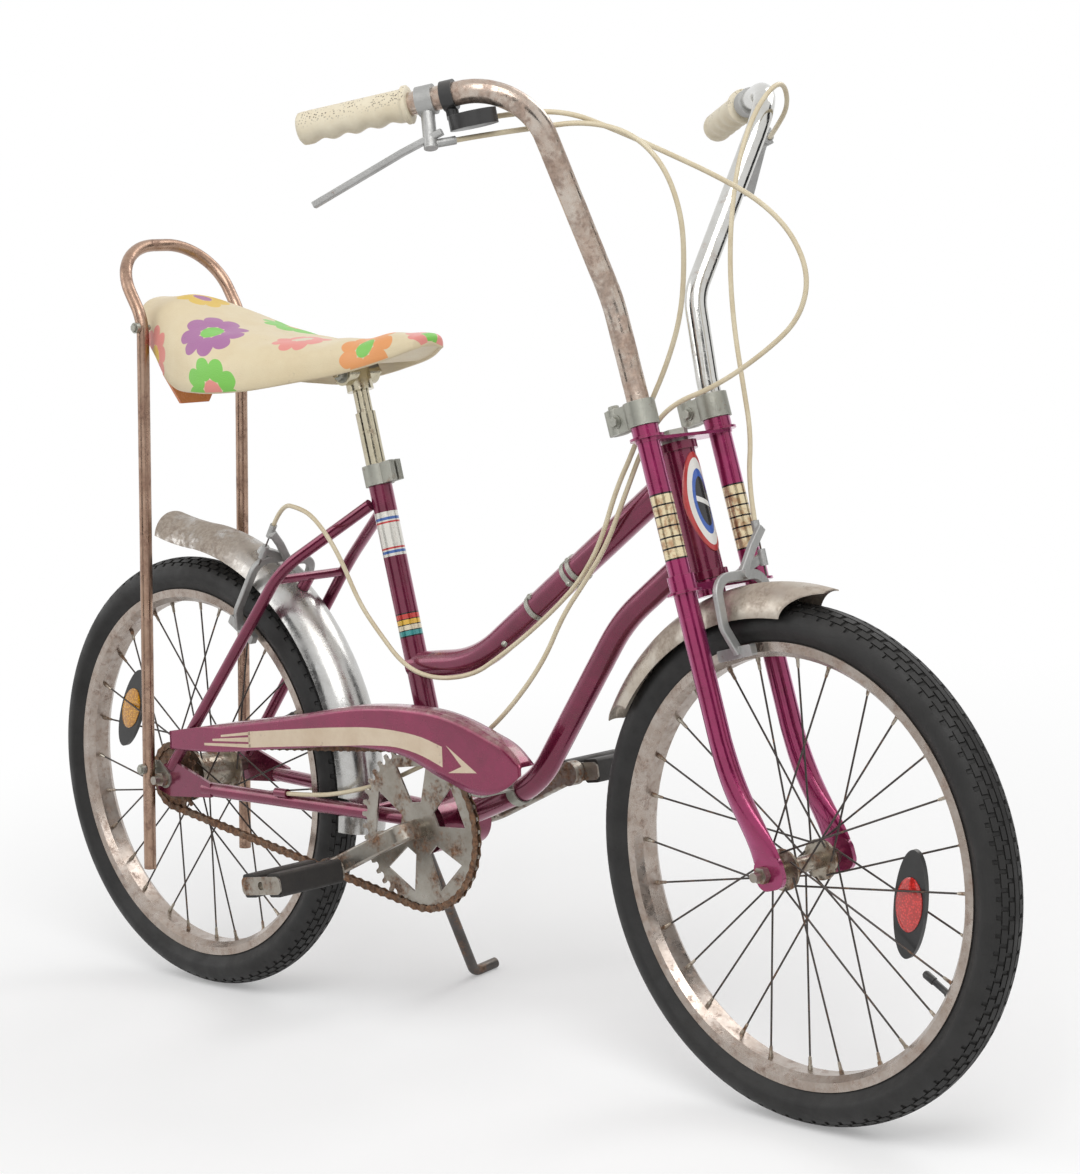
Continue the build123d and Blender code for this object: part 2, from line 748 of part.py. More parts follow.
# Strap that holds the guard to the down tube
strap_centre = Vector(514, 0, 280.3)
strap_along = (Vector(542, 0, 292) - crank_centre).normalized()
strap_wide = 12.0
strap_face = guard_inner - 1.2
strap_route = [strap_centre + Vector(0, -down_tube_radius - 0.9, 4),
               Vector(strap_centre.X, -strap_face, strap_centre.Z + 4),
               Vector(strap_centre.X, -strap_face, strap_centre.Z + 24)]
with BuildPart() as guard_strap:
    with BuildSketch(Plane(origin=strap_centre, z_dir=strap_along)):
        Circle(down_tube_radius + 2)
        Circle(down_tube_radius + seat_gap, mode=Mode.SUBTRACT)
    extrude(amount=strap_wide / 2, both=True)
    add(flat_bar(strap_route, [5], strap_wide, 2, Vector(1, 0, 0)))

# Side stand on its bracket, with the foot on the floor when the bicycle leans
lean = radians(lean_angle)
tread = [(207.0, 14.4), (214.5, 14.4), (219.0, 19.5), (229.0, tyre_section), (243.0, 17.5),
         (wheel_radius, 6.0)]


def leaning_height(r, y):
    """Height of a tyre's lowest point at a radius and a y, once it leans over its section."""
    return tyre_section + (wheel_radius - r - tyre_section) * cos(lean) - y * sin(lean)


floor = min(leaning_height(r, y) for r, y in tread)


def upright_height(y, above):
    """Upright z of a point at a y that ends up a distance above the floor."""
    return tyre_section + (floor + above - tyre_section + y * sin(lean)) / cos(lean)


stand_heel = Vector(stand_foot.X, stand_foot.Y, upright_height(stand_foot.Y, stand_radius))
toe_y = stand_foot.Y + stand_toe
stand_tip = Vector(stand_foot.X, toe_y, upright_height(toe_y, stand_radius))
stand_down = (stand_heel - stand_pivot).normalized()
stand_axis = stand_down.cross(stand_stowed).normalized()
if stand_axis.Y < 0:
    stand_axis = -stand_axis
stand_turn = degrees(acos(stand_down.dot(stand_stowed.normalized())))
stand_up = (Vector(0, 0, 1) - stand_axis * stand_axis.Z).normalized()
knuckle_half = 5.7
slot_half = 6.4
ear_half = 12.0
knuckle_radius = 11.0
pin_radius = 4.0
stand_plane = Plane(origin=stand_pivot, x_dir=stand_up, z_dir=stand_axis)
with BuildPart() as kickstand:
    with BuildSketch(stand_plane):
        Circle(knuckle_radius)
    extrude(amount=knuckle_half, both=True)
    add(tube([stand_pivot + stand_down * 2, stand_heel, stand_tip], [14], stand_radius))
    with BuildSketch(stand_plane):
        Circle(pin_radius + fit)
    extrude(amount=20, both=True, mode=Mode.SUBTRACT)

with BuildPart() as stand_bracket:
    with BuildSketch(stand_plane):
        with Locations((14, 0)):
            Rectangle(44, 24)
    extrude(amount=ear_half, both=True)
    with BuildSketch(stand_plane):
        Circle(knuckle_radius + 2)
        with Locations((-3, 0)):
            Rectangle(34, 60)
    extrude(amount=slot_half, both=True, mode=Mode.SUBTRACT)
    with BuildSketch(stand_plane):
        Circle(pin_radius)
    extrude(amount=ear_half, both=True)
    add(chain_stays.part, mode=Mode.SUBTRACT)
    add(shell_blank, mode=Mode.SUBTRACT)
    add(stay_bridges.part, mode=Mode.SUBTRACT)

# Fork
front_axle_face = leg_y + tip_thickness / 2
with BuildPart() as steerer:
    with BuildSketch(fork_level(leg_collar_low)):
        Circle(steerer_radius)
    extrude(amount=432 - leg_collar_low)
    with BuildSketch(fork_level(leg_collar_high)):
        RegularPolygon(15, 6)
    extrude(amount=7)

fork_legs = []
leg_stations = [(130, 13.5, 11, 11), (97, 16, 11.8, 11), (58, 24.5, 13.5, 8.5),
                (30, 32.5, 15.5, 4.6), (12, 35.5, 17, 2.5)]
for side in (-1, 1):
    with BuildPart() as leg:
        for height, ahead, deep, wide in leg_stations:
            with BuildSketch(fork_level(height)):
                with Locations((ahead, side * leg_y)):
                    Ellipse(deep, wide)
        loft()
        add(rod(fork_point(leg_ahead, side * leg_y, 130),
                fork_point(leg_ahead, side * leg_y, leg_top), leg_radius))
        for low, high in ((leg_collar_low, 291), (425, leg_top)):
            with BuildSketch(fork_level(low)):
                with Locations((leg_ahead, side * leg_y)):
                    Circle(sleeve_radius)
            extrude(amount=high - low)
        with BuildSketch(fork_level(leg_collar_low), fork_level(leg_collar_high - 0.7)):
            with Locations((leg_ahead, side * leg_y)):
                Circle(flange_radius)
        extrude(amount=2.5)
        tip_plane = Plane(origin=front_axle + Vector(0, side * leg_y, 0), x_dir=forward,
                          z_dir=(0, -1, 0))
        with BuildSketch(tip_plane):
            with Locations((5, 0)):
                RectangleRounded(34, 32, 12)
        extrude(amount=tip_thickness / 2, both=True)
        with BuildSketch(tip_plane):
            Circle(axle_radius + fit)
        extrude(amount=30, both=True, mode=Mode.SUBTRACT)
    fork_legs.append(leg.part)

with BuildPart() as fork_plates:
    for low, high in ((leg_collar_low, 280), (421, 424.2)):
        with BuildSketch(fork_level(low)):
            Circle(17)
            with Locations((leg_ahead, -leg_y), (leg_ahead, leg_y)):
                Circle(12)
            make_hull()
        extrude(amount=high - low)
    with BuildSketch(fork_level(280)):
        Circle(17)
    extrude(amount=head_bottom - 280 - seat_gap)
    add(rod(fork_point(0, 0, leg_collar_low), fork_point(0, 0, 268.6), 14))
    add(steerer.part, mode=Mode.SUBTRACT)
    for leg in fork_legs:
        add(leg, mode=Mode.SUBTRACT)
    add(front_caliper, mode=Mode.SUBTRACT)

front_nut_face = front_axle_face + fit
front_axle_end = front_nut_face + nut_height + axle_spare
with BuildPart() as front_axle_set:
    add(cross_bar(front_axle, -front_axle_end, front_axle_end, axle_radius))
    for side in (-1, 1):
        low, high = sorted((side * front_nut_face, side * (front_nut_face + nut_height)))
        add(nut(front_axle, low, high, nut_radius, axle_radius - 0.5))
        low, high = sorted((side * (front_hub_half + seat_gap),
                            side * (leg_y - tip_thickness / 2 - fit)))
        add(cross_bar(front_axle, low, high, spacer_radius))

# Handlebars, one from each fork leg, with clamps, grips, levers and the shifter
clamp_low = leg_top + seat_gap
bar_points = [Vector(722, 56.4, 785), Vector(733, 173, 991), Vector(548.5, 286, 956)]
grip_along = (bar_points[2] - bar_points[1]).normalized()
bars = []
grips = []
for side in (-1, 1):
    route = [fork_point(leg_ahead, side * leg_y, clamp_low),
             fork_point(leg_ahead, side * leg_y, 475)]
    route += [Vector(p.X, side * p.Y, p.Z) for p in bar_points]
    bar_end = Vector(route[-1].X, route[-1].Y, route[-1].Z)
    along = Vector(grip_along.X, side * grip_along.Y, grip_along.Z)
    route[-1] = bar_end - along * 5
    bars.append(tube(route, [60, 60, 65], bar_radius))
    with BuildPart() as grip:
        add(rod(bar_end - along * grip_length, bar_end, grip_radius))
        add(rod(bar_end - along * grip_length, bar_end - along * (grip_length - 5), 18))
        add(rod(bar_end - along * (grip_length + 1), route[-1] + along * fit, bar_radius + fit),
            mode=Mode.SUBTRACT)
    grips.append(grip.part)

with BuildPart() as handlebar_clamps:
    for side in (-1, 1):
        with BuildSketch(fork_level(clamp_low)):
            with Locations((leg_ahead, side * leg_y)):
                Circle(clamp_radius)
            with Locations((leg_ahead - 18, side * leg_y)):
                Rectangle(36, 15)
            with Locations((leg_ahead - 34, side * leg_y)):
                Circle(10)
        extrude(amount=clamp_height)
        with BuildSketch(fork_level(clamp_low)):
            with Locations((leg_ahead, side * leg_y)):
                Circle(bar_radius + fit)
            with Locations((leg_ahead - 30, side * leg_y)):
                Rectangle(40, 2)
        extrude(amount=clamp_height, mode=Mode.SUBTRACT)

lever_back = 16.0            # from a grip's inner end to its brake lever's bracket
lever_drop = 44.0            # from the bar's axis to the cable barrel of a lever
barrel_length = 24.0
shifter_back = 38.0          # from a grip's inner end to the shifter
levers = []
barrel_ends = []
for side, inward in ((-1, 0.5), (1, 0.12)):
    along = Vector(grip_along.X, side * grip_along.Y, grip_along.Z)
    bar_end = Vector(bar_points[2].X, side * bar_points[2].Y, bar_points[2].Z)
    seat = bar_end - along * (grip_length + lever_back)
    outward = along.cross(Vector(0, 0, side)).normalized()
    drop = along.cross(outward).normalized()
    if drop.Z > 0:
        drop = -drop
    if outward.X < 0:
        outward = -outward
    reach = (outward * 0.35 + drop * 0.94).normalized()
    cable_way = (-along * 0.85 - outward * inward).normalized()
    barrel = seat + reach * lever_drop
    with BuildPart() as lever:
        with BuildSketch(Plane(origin=seat, z_dir=along)):
            Circle(bar_radius + 3)
        extrude(amount=8, both=True)
        add(rod(seat + reach * 8, barrel + reach * 4, 6.5))
        add(rod(barrel, barrel + cable_way * barrel_length, 4))
        lever_route = [seat + reach * 34 - along * 12, seat + reach * 46 + along * 28,
                       seat + reach * 78 + along * 118]
        add(flat_bar(lever_route, [40], 12, 6, drop.cross(along)))
        with BuildSketch(Plane(origin=seat, z_dir=along)):
            Circle(bar_radius + fit)
        extrude(amount=30, both=True, mode=Mode.SUBTRACT)
    levers.append(lever.part)
    barrel_ends.append((barrel + cable_way * (barrel_length + seat_gap), cable_way))

with BuildPart() as shifter:
    along = Vector(grip_along.X, -grip_along.Y, grip_along.Z)
    outward = along.cross(Vector(0, 0, -1)).normalized()
    drop = outward.cross(along).normalized()
    bar_end = Vector(bar_points[2].X, -bar_points[2].Y, bar_points[2].Z)
    seat = bar_end - along * (grip_length + shifter_back)
    with BuildSketch(Plane(origin=seat, z_dir=along)):
        Circle(bar_radius + 3)
    extrude(amount=6, both=True)
    add(rod(seat + drop * 8, seat + drop * 22, 6))
    with BuildSketch(Plane(origin=seat - along * 18 + drop * 19, x_dir=along, z_dir=drop)):
        Ellipse(23, 18)
    extrude(amount=14)
    with BuildSketch(Plane(origin=seat, z_dir=along)):
        Circle(bar_radius + fit)
    extrude(amount=30, both=True, mode=Mode.SUBTRACT)

badge_height = 357.7
with BuildPart() as badge:
    with BuildSketch(fork_level(badge_height - 50)):
        Circle(head_radius + 1.3)
        Circle(head_radius + fit, mode=Mode.SUBTRACT)
    extrude(amount=100)
    with BuildSketch(Plane(origin=fork_point(0, 0, badge_height), x_dir=(0, 1, 0), z_dir=forward)):
        Ellipse(16, 49)
    extrude(amount=40, mode=Mode.INTERSECT)


# Wheels
def wheel_plane(axle):
    """Plane through an axle: its x runs outward and forward, its y across to the left."""
    return Plane(origin=axle, x_dir=(1, 0, 0), z_dir=(0, 0, 1))


def wheel_ring(axle, profile):
    """Ring turned about an axle from half a profile of radius and y."""
    mirrored = [(r, -y) for r, y in reversed(profile)]
    with BuildPart() as ring:
        with BuildSketch(wheel_plane(axle)):
            with BuildLine():
                Polyline(*profile, *mirrored, close=True)
            make_face()
        revolve(axis=Axis(axle, (0, 1, 0)), revolution_arc=360)
    return ring.part


rim_half = rim_width / 2
rim_floor = rim_radius - rim_depth + 0.5
rim_profile = [(rim_radius, rim_half - rim_wall), (205.5, rim_half - rim_wall), (201.1, 8.9),
               ]
rim_outer = [(199.5, 9.5), (205, rim_half), (rim_radius, rim_half)]


def rim_ring(axle):
    """Rim: two flanges joined by a stepped floor."""
    right = [(r, -y) for r, y in reversed(rim_profile)]
    under = [(r, -y) for r, y in reversed(rim_outer)]
    with BuildPart() as ring:
        with BuildSketch(wheel_plane(axle)):
            with BuildLine():
                Polyline(*rim_profile, *right, *under, *rim_outer, close=True)
            make_face()
        revolve(axis=Axis(axle, (0, 1, 0)), revolution_arc=360)
    return ring.part


def spokes(axle, flange_radius, flange_at):
    """All the spokes of a wheel, laced on both faces of each flange."""
    step = 360 / spoke_count
    bars = []
    for n in range(spoke_count):
        side = 1 if n % 2 else -1
        lead = 1 if (n // 2) % 2 else -1
        rim_angle = radians(n * step)
        hub_angle = rim_angle + radians(lead * spoke_lead)
        hub_r = flange_radius - 3
        rim_r = 199.4
        hub_y = side * (flange_at + lead * spoke_stagger)
        start = axle + Vector(hub_r * cos(hub_angle), hub_y, hub_r * sin(hub_angle))
        end = axle + Vector(rim_r * cos(rim_angle), side * 3.0, rim_r * sin(rim_angle))
        bars.append(rod(start, end, spoke_radius))
    return Compound(children=bars)


def hub(axle, half, barrel, flange_radius, flange_at):
    """Hub turned about its axle, with two flanges."""
    with BuildPart() as body:
        add(cross_bar(axle, -half, half, max(barrel - 2, axle_radius + 3)))
        add(cross_bar(axle, -flange_at, flange_at, barrel))
        for y in (-flange_at, flange_at):
            half_flange = flange_thickness / 2
            add(cross_bar(axle, y - half_flange, y + half_flange, flange_radius))
    return body.part


axle_bore = axle_radius + fit
front_tyre = wheel_ring(front_axle, tread)
rear_tyre = wheel_ring(rear_axle, tread)
front_rim = rim_ring(front_axle)
rear_rim = rim_ring(rear_axle)
with BuildPart() as front_hub:
    add(hub(front_axle, front_hub_half, front_barrel_radius, front_flange_radius, front_flange_at))
    add(cross_bar(front_axle, -90, 90, axle_bore), mode=Mode.SUBTRACT)
with BuildPart() as rear_hub:
    add(hub(rear_axle, rear_hub_half, rear_barrel_radius, rear_flange_radius, rear_flange_at))
    add(cross_bar(rear_axle, -driver_end, 0, driver_radius))
    add(cross_bar(rear_axle, -90, 90, axle_bore), mode=Mode.SUBTRACT)
front_spokes = spokes(front_axle, front_flange_radius, front_flange_at)
rear_spokes = spokes(rear_axle, rear_flange_radius, rear_flange_at)


def reflector(axle, place, angle):
    """Almond shaped reflector plate between the spokes."""
    with BuildPart() as plate:
        spot = axle + Vector(cos(radians(angle)), 0, sin(radians(angle))) * place
        with BuildSketch(turned_plane(-0.5, spot, angle + 90)):
            Ellipse(reflector_length / 2, reflector_width / 2)
        extrude(amount=reflector_thickness)
    return plate.part


front_reflector = reflector(front_axle, reflector_place, -8)
rear_reflector = reflector(rear_axle, reflector_place + 10, 154)

# Cables, along routes set by hand. Points ahead of the head are given with the front end
# straight, and turn with it.
cable_radius = 2.5
steer_axis = Axis(steer_foot, upward)


def with_front(p):
    """A point of the front end once it is turned as it parks."""
    return steer_foot + (p - steer_foot).rotate(steer_axis, park_steer)


def cable(points):
    """Cable along straight runs, joined by arcs that use most of the shorter run."""
    bends = []
    for before, corner, after in zip(points, points[1:], points[2:]):
        come = corner - before
        leave = after - corner
        half_turn = radians(come.get_angle(leave)) / 2
        bends.append(0.45 * min(come.length, leave.length) / tan(half_turn))
    print("cable", len(points), "points, tightest bend", round(min(bends), 1))
    return tube(points, bends, cable_radius)


right_barrel, right_way = barrel_ends[0]
left_barrel, left_way = barrel_ends[1]
rear_brake_front = [right_barrel, right_barrel + right_way * 30,
                    Vector(712, -138, 948), Vector(745, -108, 952), Vector(783, -86, 940),
                    Vector(812, -75, 910), Vector(822, -64, 866), Vector(815, -54, 822),
                    Vector(797, -42, 770), Vector(768, -34, 722), Vector(738, -31, 680)]
rear_brake_back = [Vector(716, -30, 640), Vector(688, -27, 600), Vector(661, -22, 547),
                   Vector(628, -16, 510), Vector(596, -14, 483), Vector(545, -12, 447),
                   Vector(505, -15, 421), Vector(468, -16, 400), Vector(415, -20, 392),
                   Vector(372, -24, 403), Vector(338, -30, 441), Vector(319, -37, 470),
                   Vector(301, -45, 518), Vector(283, -50, 546), Vector(263, -51, 563),
                   Vector(240, -48, 569), Vector(207, -42, 572), Vector(186.3, -38, 548.2)]
rear_brake_cable = cable([with_front(p) for p in rear_brake_front] + rear_brake_back)

shift_front = [Vector(691.2, -176.7, 958.5), Vector(703, -155, 962), Vector(733, -118, 962),
               Vector(757, -82, 944), Vector(781, -50, 925), Vector(815, -8, 898),
               Vector(846, 20, 872), Vector(870, 36, 840), Vector(884, 41, 800),
               Vector(873, 38, 762), Vector(842, 29, 734), Vector(790, 12, 700),
               Vector(744, -10, 682)]
shift_back = [Vector(722, -22, 645), Vector(696, -22, 596), Vector(670, -23, 545),
              Vector(636, -21, 506), Vector(606, -22, 472), Vector(578, -24, 422),
              Vector(530, -30, 368), Vector(478, -30, 330), Vector(410, -28, 305),
              Vector(345, -34, 276), Vector(280, -43, 259), Vector(240, -47, 254), cable_stop]
shift_cable = cable([with_front(p) for p in shift_front] + shift_back)

front_brake_route = [left_barrel, left_barrel + left_way * 28,
                     Vector(745, 180, 968), Vector(764, 148, 993), Vector(770, 104, 966),
                     Vector(773, 72, 917), Vector(774, 57, 862), Vector(776, 50, 808),
                     Vector(781, 48, 753), Vector(792, 46, 699), Vector(803, 43, 651),
                     Vector(800, 40, 606), Vector(808.3, 38, 569.6)]
front_brake_cable = cable(front_brake_route)

# Names, and the place of every piece: upright, then leaning on the stand
frame_pieces = {
    "head_tube": head_tube.part, "top_tube": top_tube.part, "down_tube": down_tube.part,
    "saddle_tube": seat_tube.part, "bottom_bracket": bottom_bracket.part,
    "chain_stays": chain_stays.part, "back_stays": seat_stays.part,
    "stay_bridges": stay_bridges.part, "stand_bracket": stand_bracket.part,
    "rear_axle": rear_axle_set.part, "saddle_post": seat_post.part,
    "post_collar": seat_collar.part, "saddle_clamp": saddle_clamp.part,
    "saddle_pan": saddle_pan.part, "saddle": saddle.part, "saddle_panel": saddle_panel.part,
    "passenger_bar": passenger_bar.part, "passenger_bar_fixings": passenger_bar_fixings.part,
    "rear_fender": rear_fender.part, "rear_brake": rear_brake.part,
    "chain_guard": chain_guard.part, "guard_strap": guard_strap.part, "chain": chain.part,
    "badge": badge.part, "chainring": chainring.part, "crank_arms": crank_arms.part,
    "pedal_right_core": right_core, "pedal_right_blocks": right_blocks,
    "pedal_left_core": left_core, "pedal_left_blocks": left_blocks,
    "rear_sprocket": rear_sprocket.part, "kickstand": kickstand.part,
    "rear_tyre": rear_tyre, "rear_rim": rear_rim, "rear_hub": rear_hub.part,
    "rear_spokes": rear_spokes, "rear_reflector": rear_reflector,
    "cable_rear_brake": rear_brake_cable, "cable_shift": shift_cable,
}
fork_pieces = {
    "steerer": steerer.part, "fork_plates": fork_plates.part, "fork_leg_right": fork_legs[0],
    "fork_leg_left": fork_legs[1], "front_axle": front_axle_set.part,
    "front_fender": front_fender.part, "front_brake": front_brake.part,
    "handlebar_clamps": handlebar_clamps.part, "handlebar_right": bars[0],
    "handlebar_left": bars[1], "grip_right": grips[0], "grip_left": grips[1],
    "brake_lever_right": levers[0], "brake_lever_left": levers[1], "shifter": shifter.part,
    "front_tyre": front_tyre, "front_rim": front_rim, "front_hub": front_hub.part,
    "front_spokes": front_spokes, "front_reflector": front_reflector,
    "cable_front_brake": front_brake_cable,
}
lean_axis = Axis((0, 0, tyre_section), (1, 0, 0))
placed = {}
for name, piece in frame_pieces.items():
    placed[name] = piece.rotate(lean_axis, -lean_angle)
for name, piece in fork_pieces.items():
    placed[name] = piece.rotate(steer_axis, park_steer).rotate(lean_axis, -lean_angle)
boxes = [piece.bounding_box() for piece in placed.values()]
middle_x = (min(b.min.X for b in boxes) + max(b.max.X for b in boxes)) / 2
middle_y = (min(b.min.Y for b in boxes) + max(b.max.Y for b in boxes)) / 2
bottom_z = min(b.min.Z for b in boxes)
to_origin = Location((-middle_x, -middle_y, -bottom_z))
for name, piece in placed.items():
    part = to_origin * piece
    part.label = name
    export_step(part, f"parts/{name}.step")
    print(name, len(part.solids()), round(part.volume / 1000, 2))
print("shift", middle_x, middle_y, bottom_z, floor, stand_turn, link_count)
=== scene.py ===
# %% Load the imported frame
import bmesh
import bpy
import numpy as np
from mathutils import Matrix, Vector


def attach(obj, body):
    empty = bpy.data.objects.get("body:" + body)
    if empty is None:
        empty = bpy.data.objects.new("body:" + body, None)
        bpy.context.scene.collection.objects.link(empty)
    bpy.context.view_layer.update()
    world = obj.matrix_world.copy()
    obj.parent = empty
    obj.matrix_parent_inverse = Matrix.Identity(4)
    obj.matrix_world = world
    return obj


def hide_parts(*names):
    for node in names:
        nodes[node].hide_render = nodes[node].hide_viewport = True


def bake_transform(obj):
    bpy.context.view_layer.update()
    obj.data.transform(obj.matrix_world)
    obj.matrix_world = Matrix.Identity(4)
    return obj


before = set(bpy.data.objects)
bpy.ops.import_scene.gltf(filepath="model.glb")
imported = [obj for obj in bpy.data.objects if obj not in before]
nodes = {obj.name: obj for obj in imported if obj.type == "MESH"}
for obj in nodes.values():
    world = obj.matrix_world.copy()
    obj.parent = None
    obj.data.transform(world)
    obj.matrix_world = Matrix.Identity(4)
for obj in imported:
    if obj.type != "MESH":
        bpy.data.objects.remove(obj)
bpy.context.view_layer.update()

scene = bpy.context.scene

# %% [markdown]
# ## One frame for everything
# The bicycle is easiest to describe upright, with x forward from the rear axle, y to the
# rider's left and z up, in metres. On its side stand the front end is turned two degrees and
# the whole machine leans six degrees to its left. So each piece is worked out upright and
# then parked by the same two turns as the solid model. Typing leaning numbers by hand would
# be shorter, but nobody could check them against a ruler.

# %% Turning upright points into parked ones
def spin(axis, angle):
    """Matrix that turns a column vector about a unit axis: the identity, plus the sine times
    the cross product matrix, plus one less the cosine times that matrix squared."""
    x, y, z = axis
    k = np.array([[0, -z, y], [z, 0, -x], [-y, x, 0]])
    return np.eye(3) + np.sin(angle) * k + (1 - np.cos(angle)) * (k @ k)


head_angle = np.radians(74.05)
upward = np.array([-np.cos(head_angle), 0, np.sin(head_angle)])
forward = np.array([np.sin(head_angle), 0, np.cos(head_angle)])
rear_hub = np.array([0, 0, 0.250])
front_hub = np.array([0.888, 0, 0.250])
crank_centre = np.array([0.408, 0, 0.236])
steer_foot = front_hub - 0.0304 * forward
steered = spin(upward, np.radians(-2.0))
leaned = spin((1, 0, 0), np.radians(-6.0))
tyre_middle = np.array([0, 0, 0.02375])
centring = np.array([0.4440214, 0.0947074, -0.0005742])


def parked(points, front=False):
    """Upright points, one a row, as they stand in the shared frame. Those of the front end
    turn about the steering axis first."""
    p = np.asarray(points, float)
    if front:
        p = steer_foot + (p - steer_foot) @ steered.T
    return (p - tyre_middle) @ leaned.T + tyre_middle - centring


def fork_point(ahead, side, height):
    """Upright point given from the steering axis: ahead of it, to its left, up along it."""
    return steer_foot + forward * ahead + np.array([0, side, 0]) + upward * height


print("front axle stands at", parked(front_hub, front=True).round(4))

# %% [markdown]
# ## The camera
# The photograph was taken from the front right, a little above the hubs, with a long lens and
# a slight roll. The numbers come from fitting known points of the bicycle to the picture.

# %% Camera
azimuth, elevation, roll = np.radians((45.13, 10.79, -6.30))
back = np.array([np.sin(azimuth) * np.cos(elevation), -np.cos(azimuth) * np.cos(elevation),
                 np.sin(elevation)])
level = np.cross(-back, (0, 0, 1))
level /= np.linalg.norm(level)
above = np.cross(level, -back)
right = level * np.cos(roll) + above * np.sin(roll)
top = above * np.cos(roll) - level * np.sin(roll)
camera_data = bpy.data.cameras.new("camera")
camera_data.lens = 86.36
camera_data.shift_x = 0.0003
camera_data.shift_y = -0.0006
camera = bpy.data.objects.new("camera", camera_data)
turn = Matrix((right, top, back)).transposed().to_4x4()
camera.matrix_world = Matrix.Translation(np.array([2.5463, -1.9345, 1.0293]) - centring) @ turn
scene.collection.objects.link(camera)
scene.camera = camera
print("camera at", [round(v, 3) for v in camera.matrix_world.translation])

# %% [markdown]
# ## Meshes from arrays
# Every new piece is a grid of points. A profile of radius and height is carried round an
# axis, or a ring is carried along a path, and all the points come out of one numpy sum. The
# last step joins the shapes of a piece, merges the points at the poles, turns the faces
# outward and keeps the corners sharp.

# %% Helpers for meshes
def grid_faces(rows, columns, close_rows, close_columns):
    """Quads of a grid: each joins a point, the next along, and the two in the next row."""
    r = np.arange(rows if close_rows else rows - 1)
    c = np.arange(columns if close_columns else columns - 1)
    i, j = np.meshgrid(r, c, indexing="ij")
    i2, j2 = (i + 1) % rows, (j + 1) % columns
    quads = [i * columns + j, i * columns + j2, i2 * columns + j2, i2 * columns + j]
    return np.stack(quads, -1).reshape(-1, 4)


def surface(points, close_rows=False, close_columns=True):
    """Grid of points as one list, with its quads."""
    return points.reshape(-1, 3), grid_faces(*points.shape[:2], close_rows, close_columns)


def unit(v):
    """Vectors scaled to a length of one."""
    v = np.asarray(v, float)
    return v / np.linalg.norm(v, axis=-1, keepdims=True)


def circle(a, b, steps):
    """Cosine of each angle round a circle along one direction, plus its sine along another."""
    angle = np.linspace(0, 2 * np.pi, steps, endpoint=False)[:, None]
    return np.cos(angle) * a + np.sin(angle) * b


def turned(profile, foot, way, steps=16):
    """Profile of (radius, height) rows carried round the axis through foot along way: a
    point is the foot, plus its height along the axis, plus its radius at each angle."""
    profile = np.asarray(profile, float)[:, :, None, None]
    way = unit(way)
    spare = np.array([0, 1, 0]) if abs(way[1]) < 0.8 else np.array([1, 0, 0])
    a = unit(np.cross(way, spare))
    ring = circle(a, np.cross(way, a), steps)
    return surface(np.asarray(foot, float) + profile[:, 1] * way + profile[:, 0] * ring)


def pipe(path, radius, steps=12):
    """Ring carried along a path: each point is the path's, plus the radius times the cosine
    and sine of its angle along two directions square to the path. The ends are closed."""
    way = unit(np.gradient(path, axis=0))
    side = unit(np.cross(way, (0, 1, 0)))
    ring = circle(side[:, None], np.cross(side, way)[:, None], steps)
    return surface(np.concatenate([np.repeat(path[:1, None], steps, 1),
                                   path[:, None] + radius * ring,
                                   np.repeat(path[-1:, None], steps, 1)]))


def make_piece(name, shapes, body, material, upright=True, front=False, sharp=35, uv=None):
    """Joins shapes of points and faces into one mesh and lets it ride on a body."""
    points, faces, start = [], [], 0
    for p, f in shapes:
        points.append(p)
        faces.extend((f + start).tolist())
        start += len(p)
    points = np.concatenate(points)
    if upright:
        points = parked(points, front)
    mesh = bpy.data.meshes.new(name)
    mesh.from_pydata(points.tolist(), [], faces)
    if uv is not None:
        layer = mesh.uv_layers.new(name="surface")
        corner = np.empty(len(mesh.loops), np.int64)
        mesh.loops.foreach_get("vertex_index", corner)
        layer.data.foreach_set("uv", uv[corner].ravel())
    work = bmesh.new()
    work.from_mesh(mesh)
    bmesh.ops.remove_doubles(work, verts=work.verts, dist=1e-6)
    bmesh.ops.dissolve_degenerate(work, edges=work.edges, dist=1e-7)
    bmesh.ops.recalc_face_normals(work, faces=work.faces)
    work.to_mesh(mesh)
    work.free()
    mesh.shade_smooth()
    mesh.set_sharp_from_angle(angle=np.radians(sharp))
    mesh.materials.append(material)
    piece = bpy.data.objects.new(name, mesh)
    scene.collection.objects.link(piece)
    if body:
        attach(piece, body)
    print(name, len(mesh.polygons), "faces")
    return piece


# %% [markdown]
# ## Node shorthand and shared effects
# A finish is a small network of nodes. Writing each node out takes many lines, so a bench
# puts one node down, sets or links its inputs and hands back its output. Effects that many
# finishes share, such as blotches, worn edges, dust and rust, are groups built once.

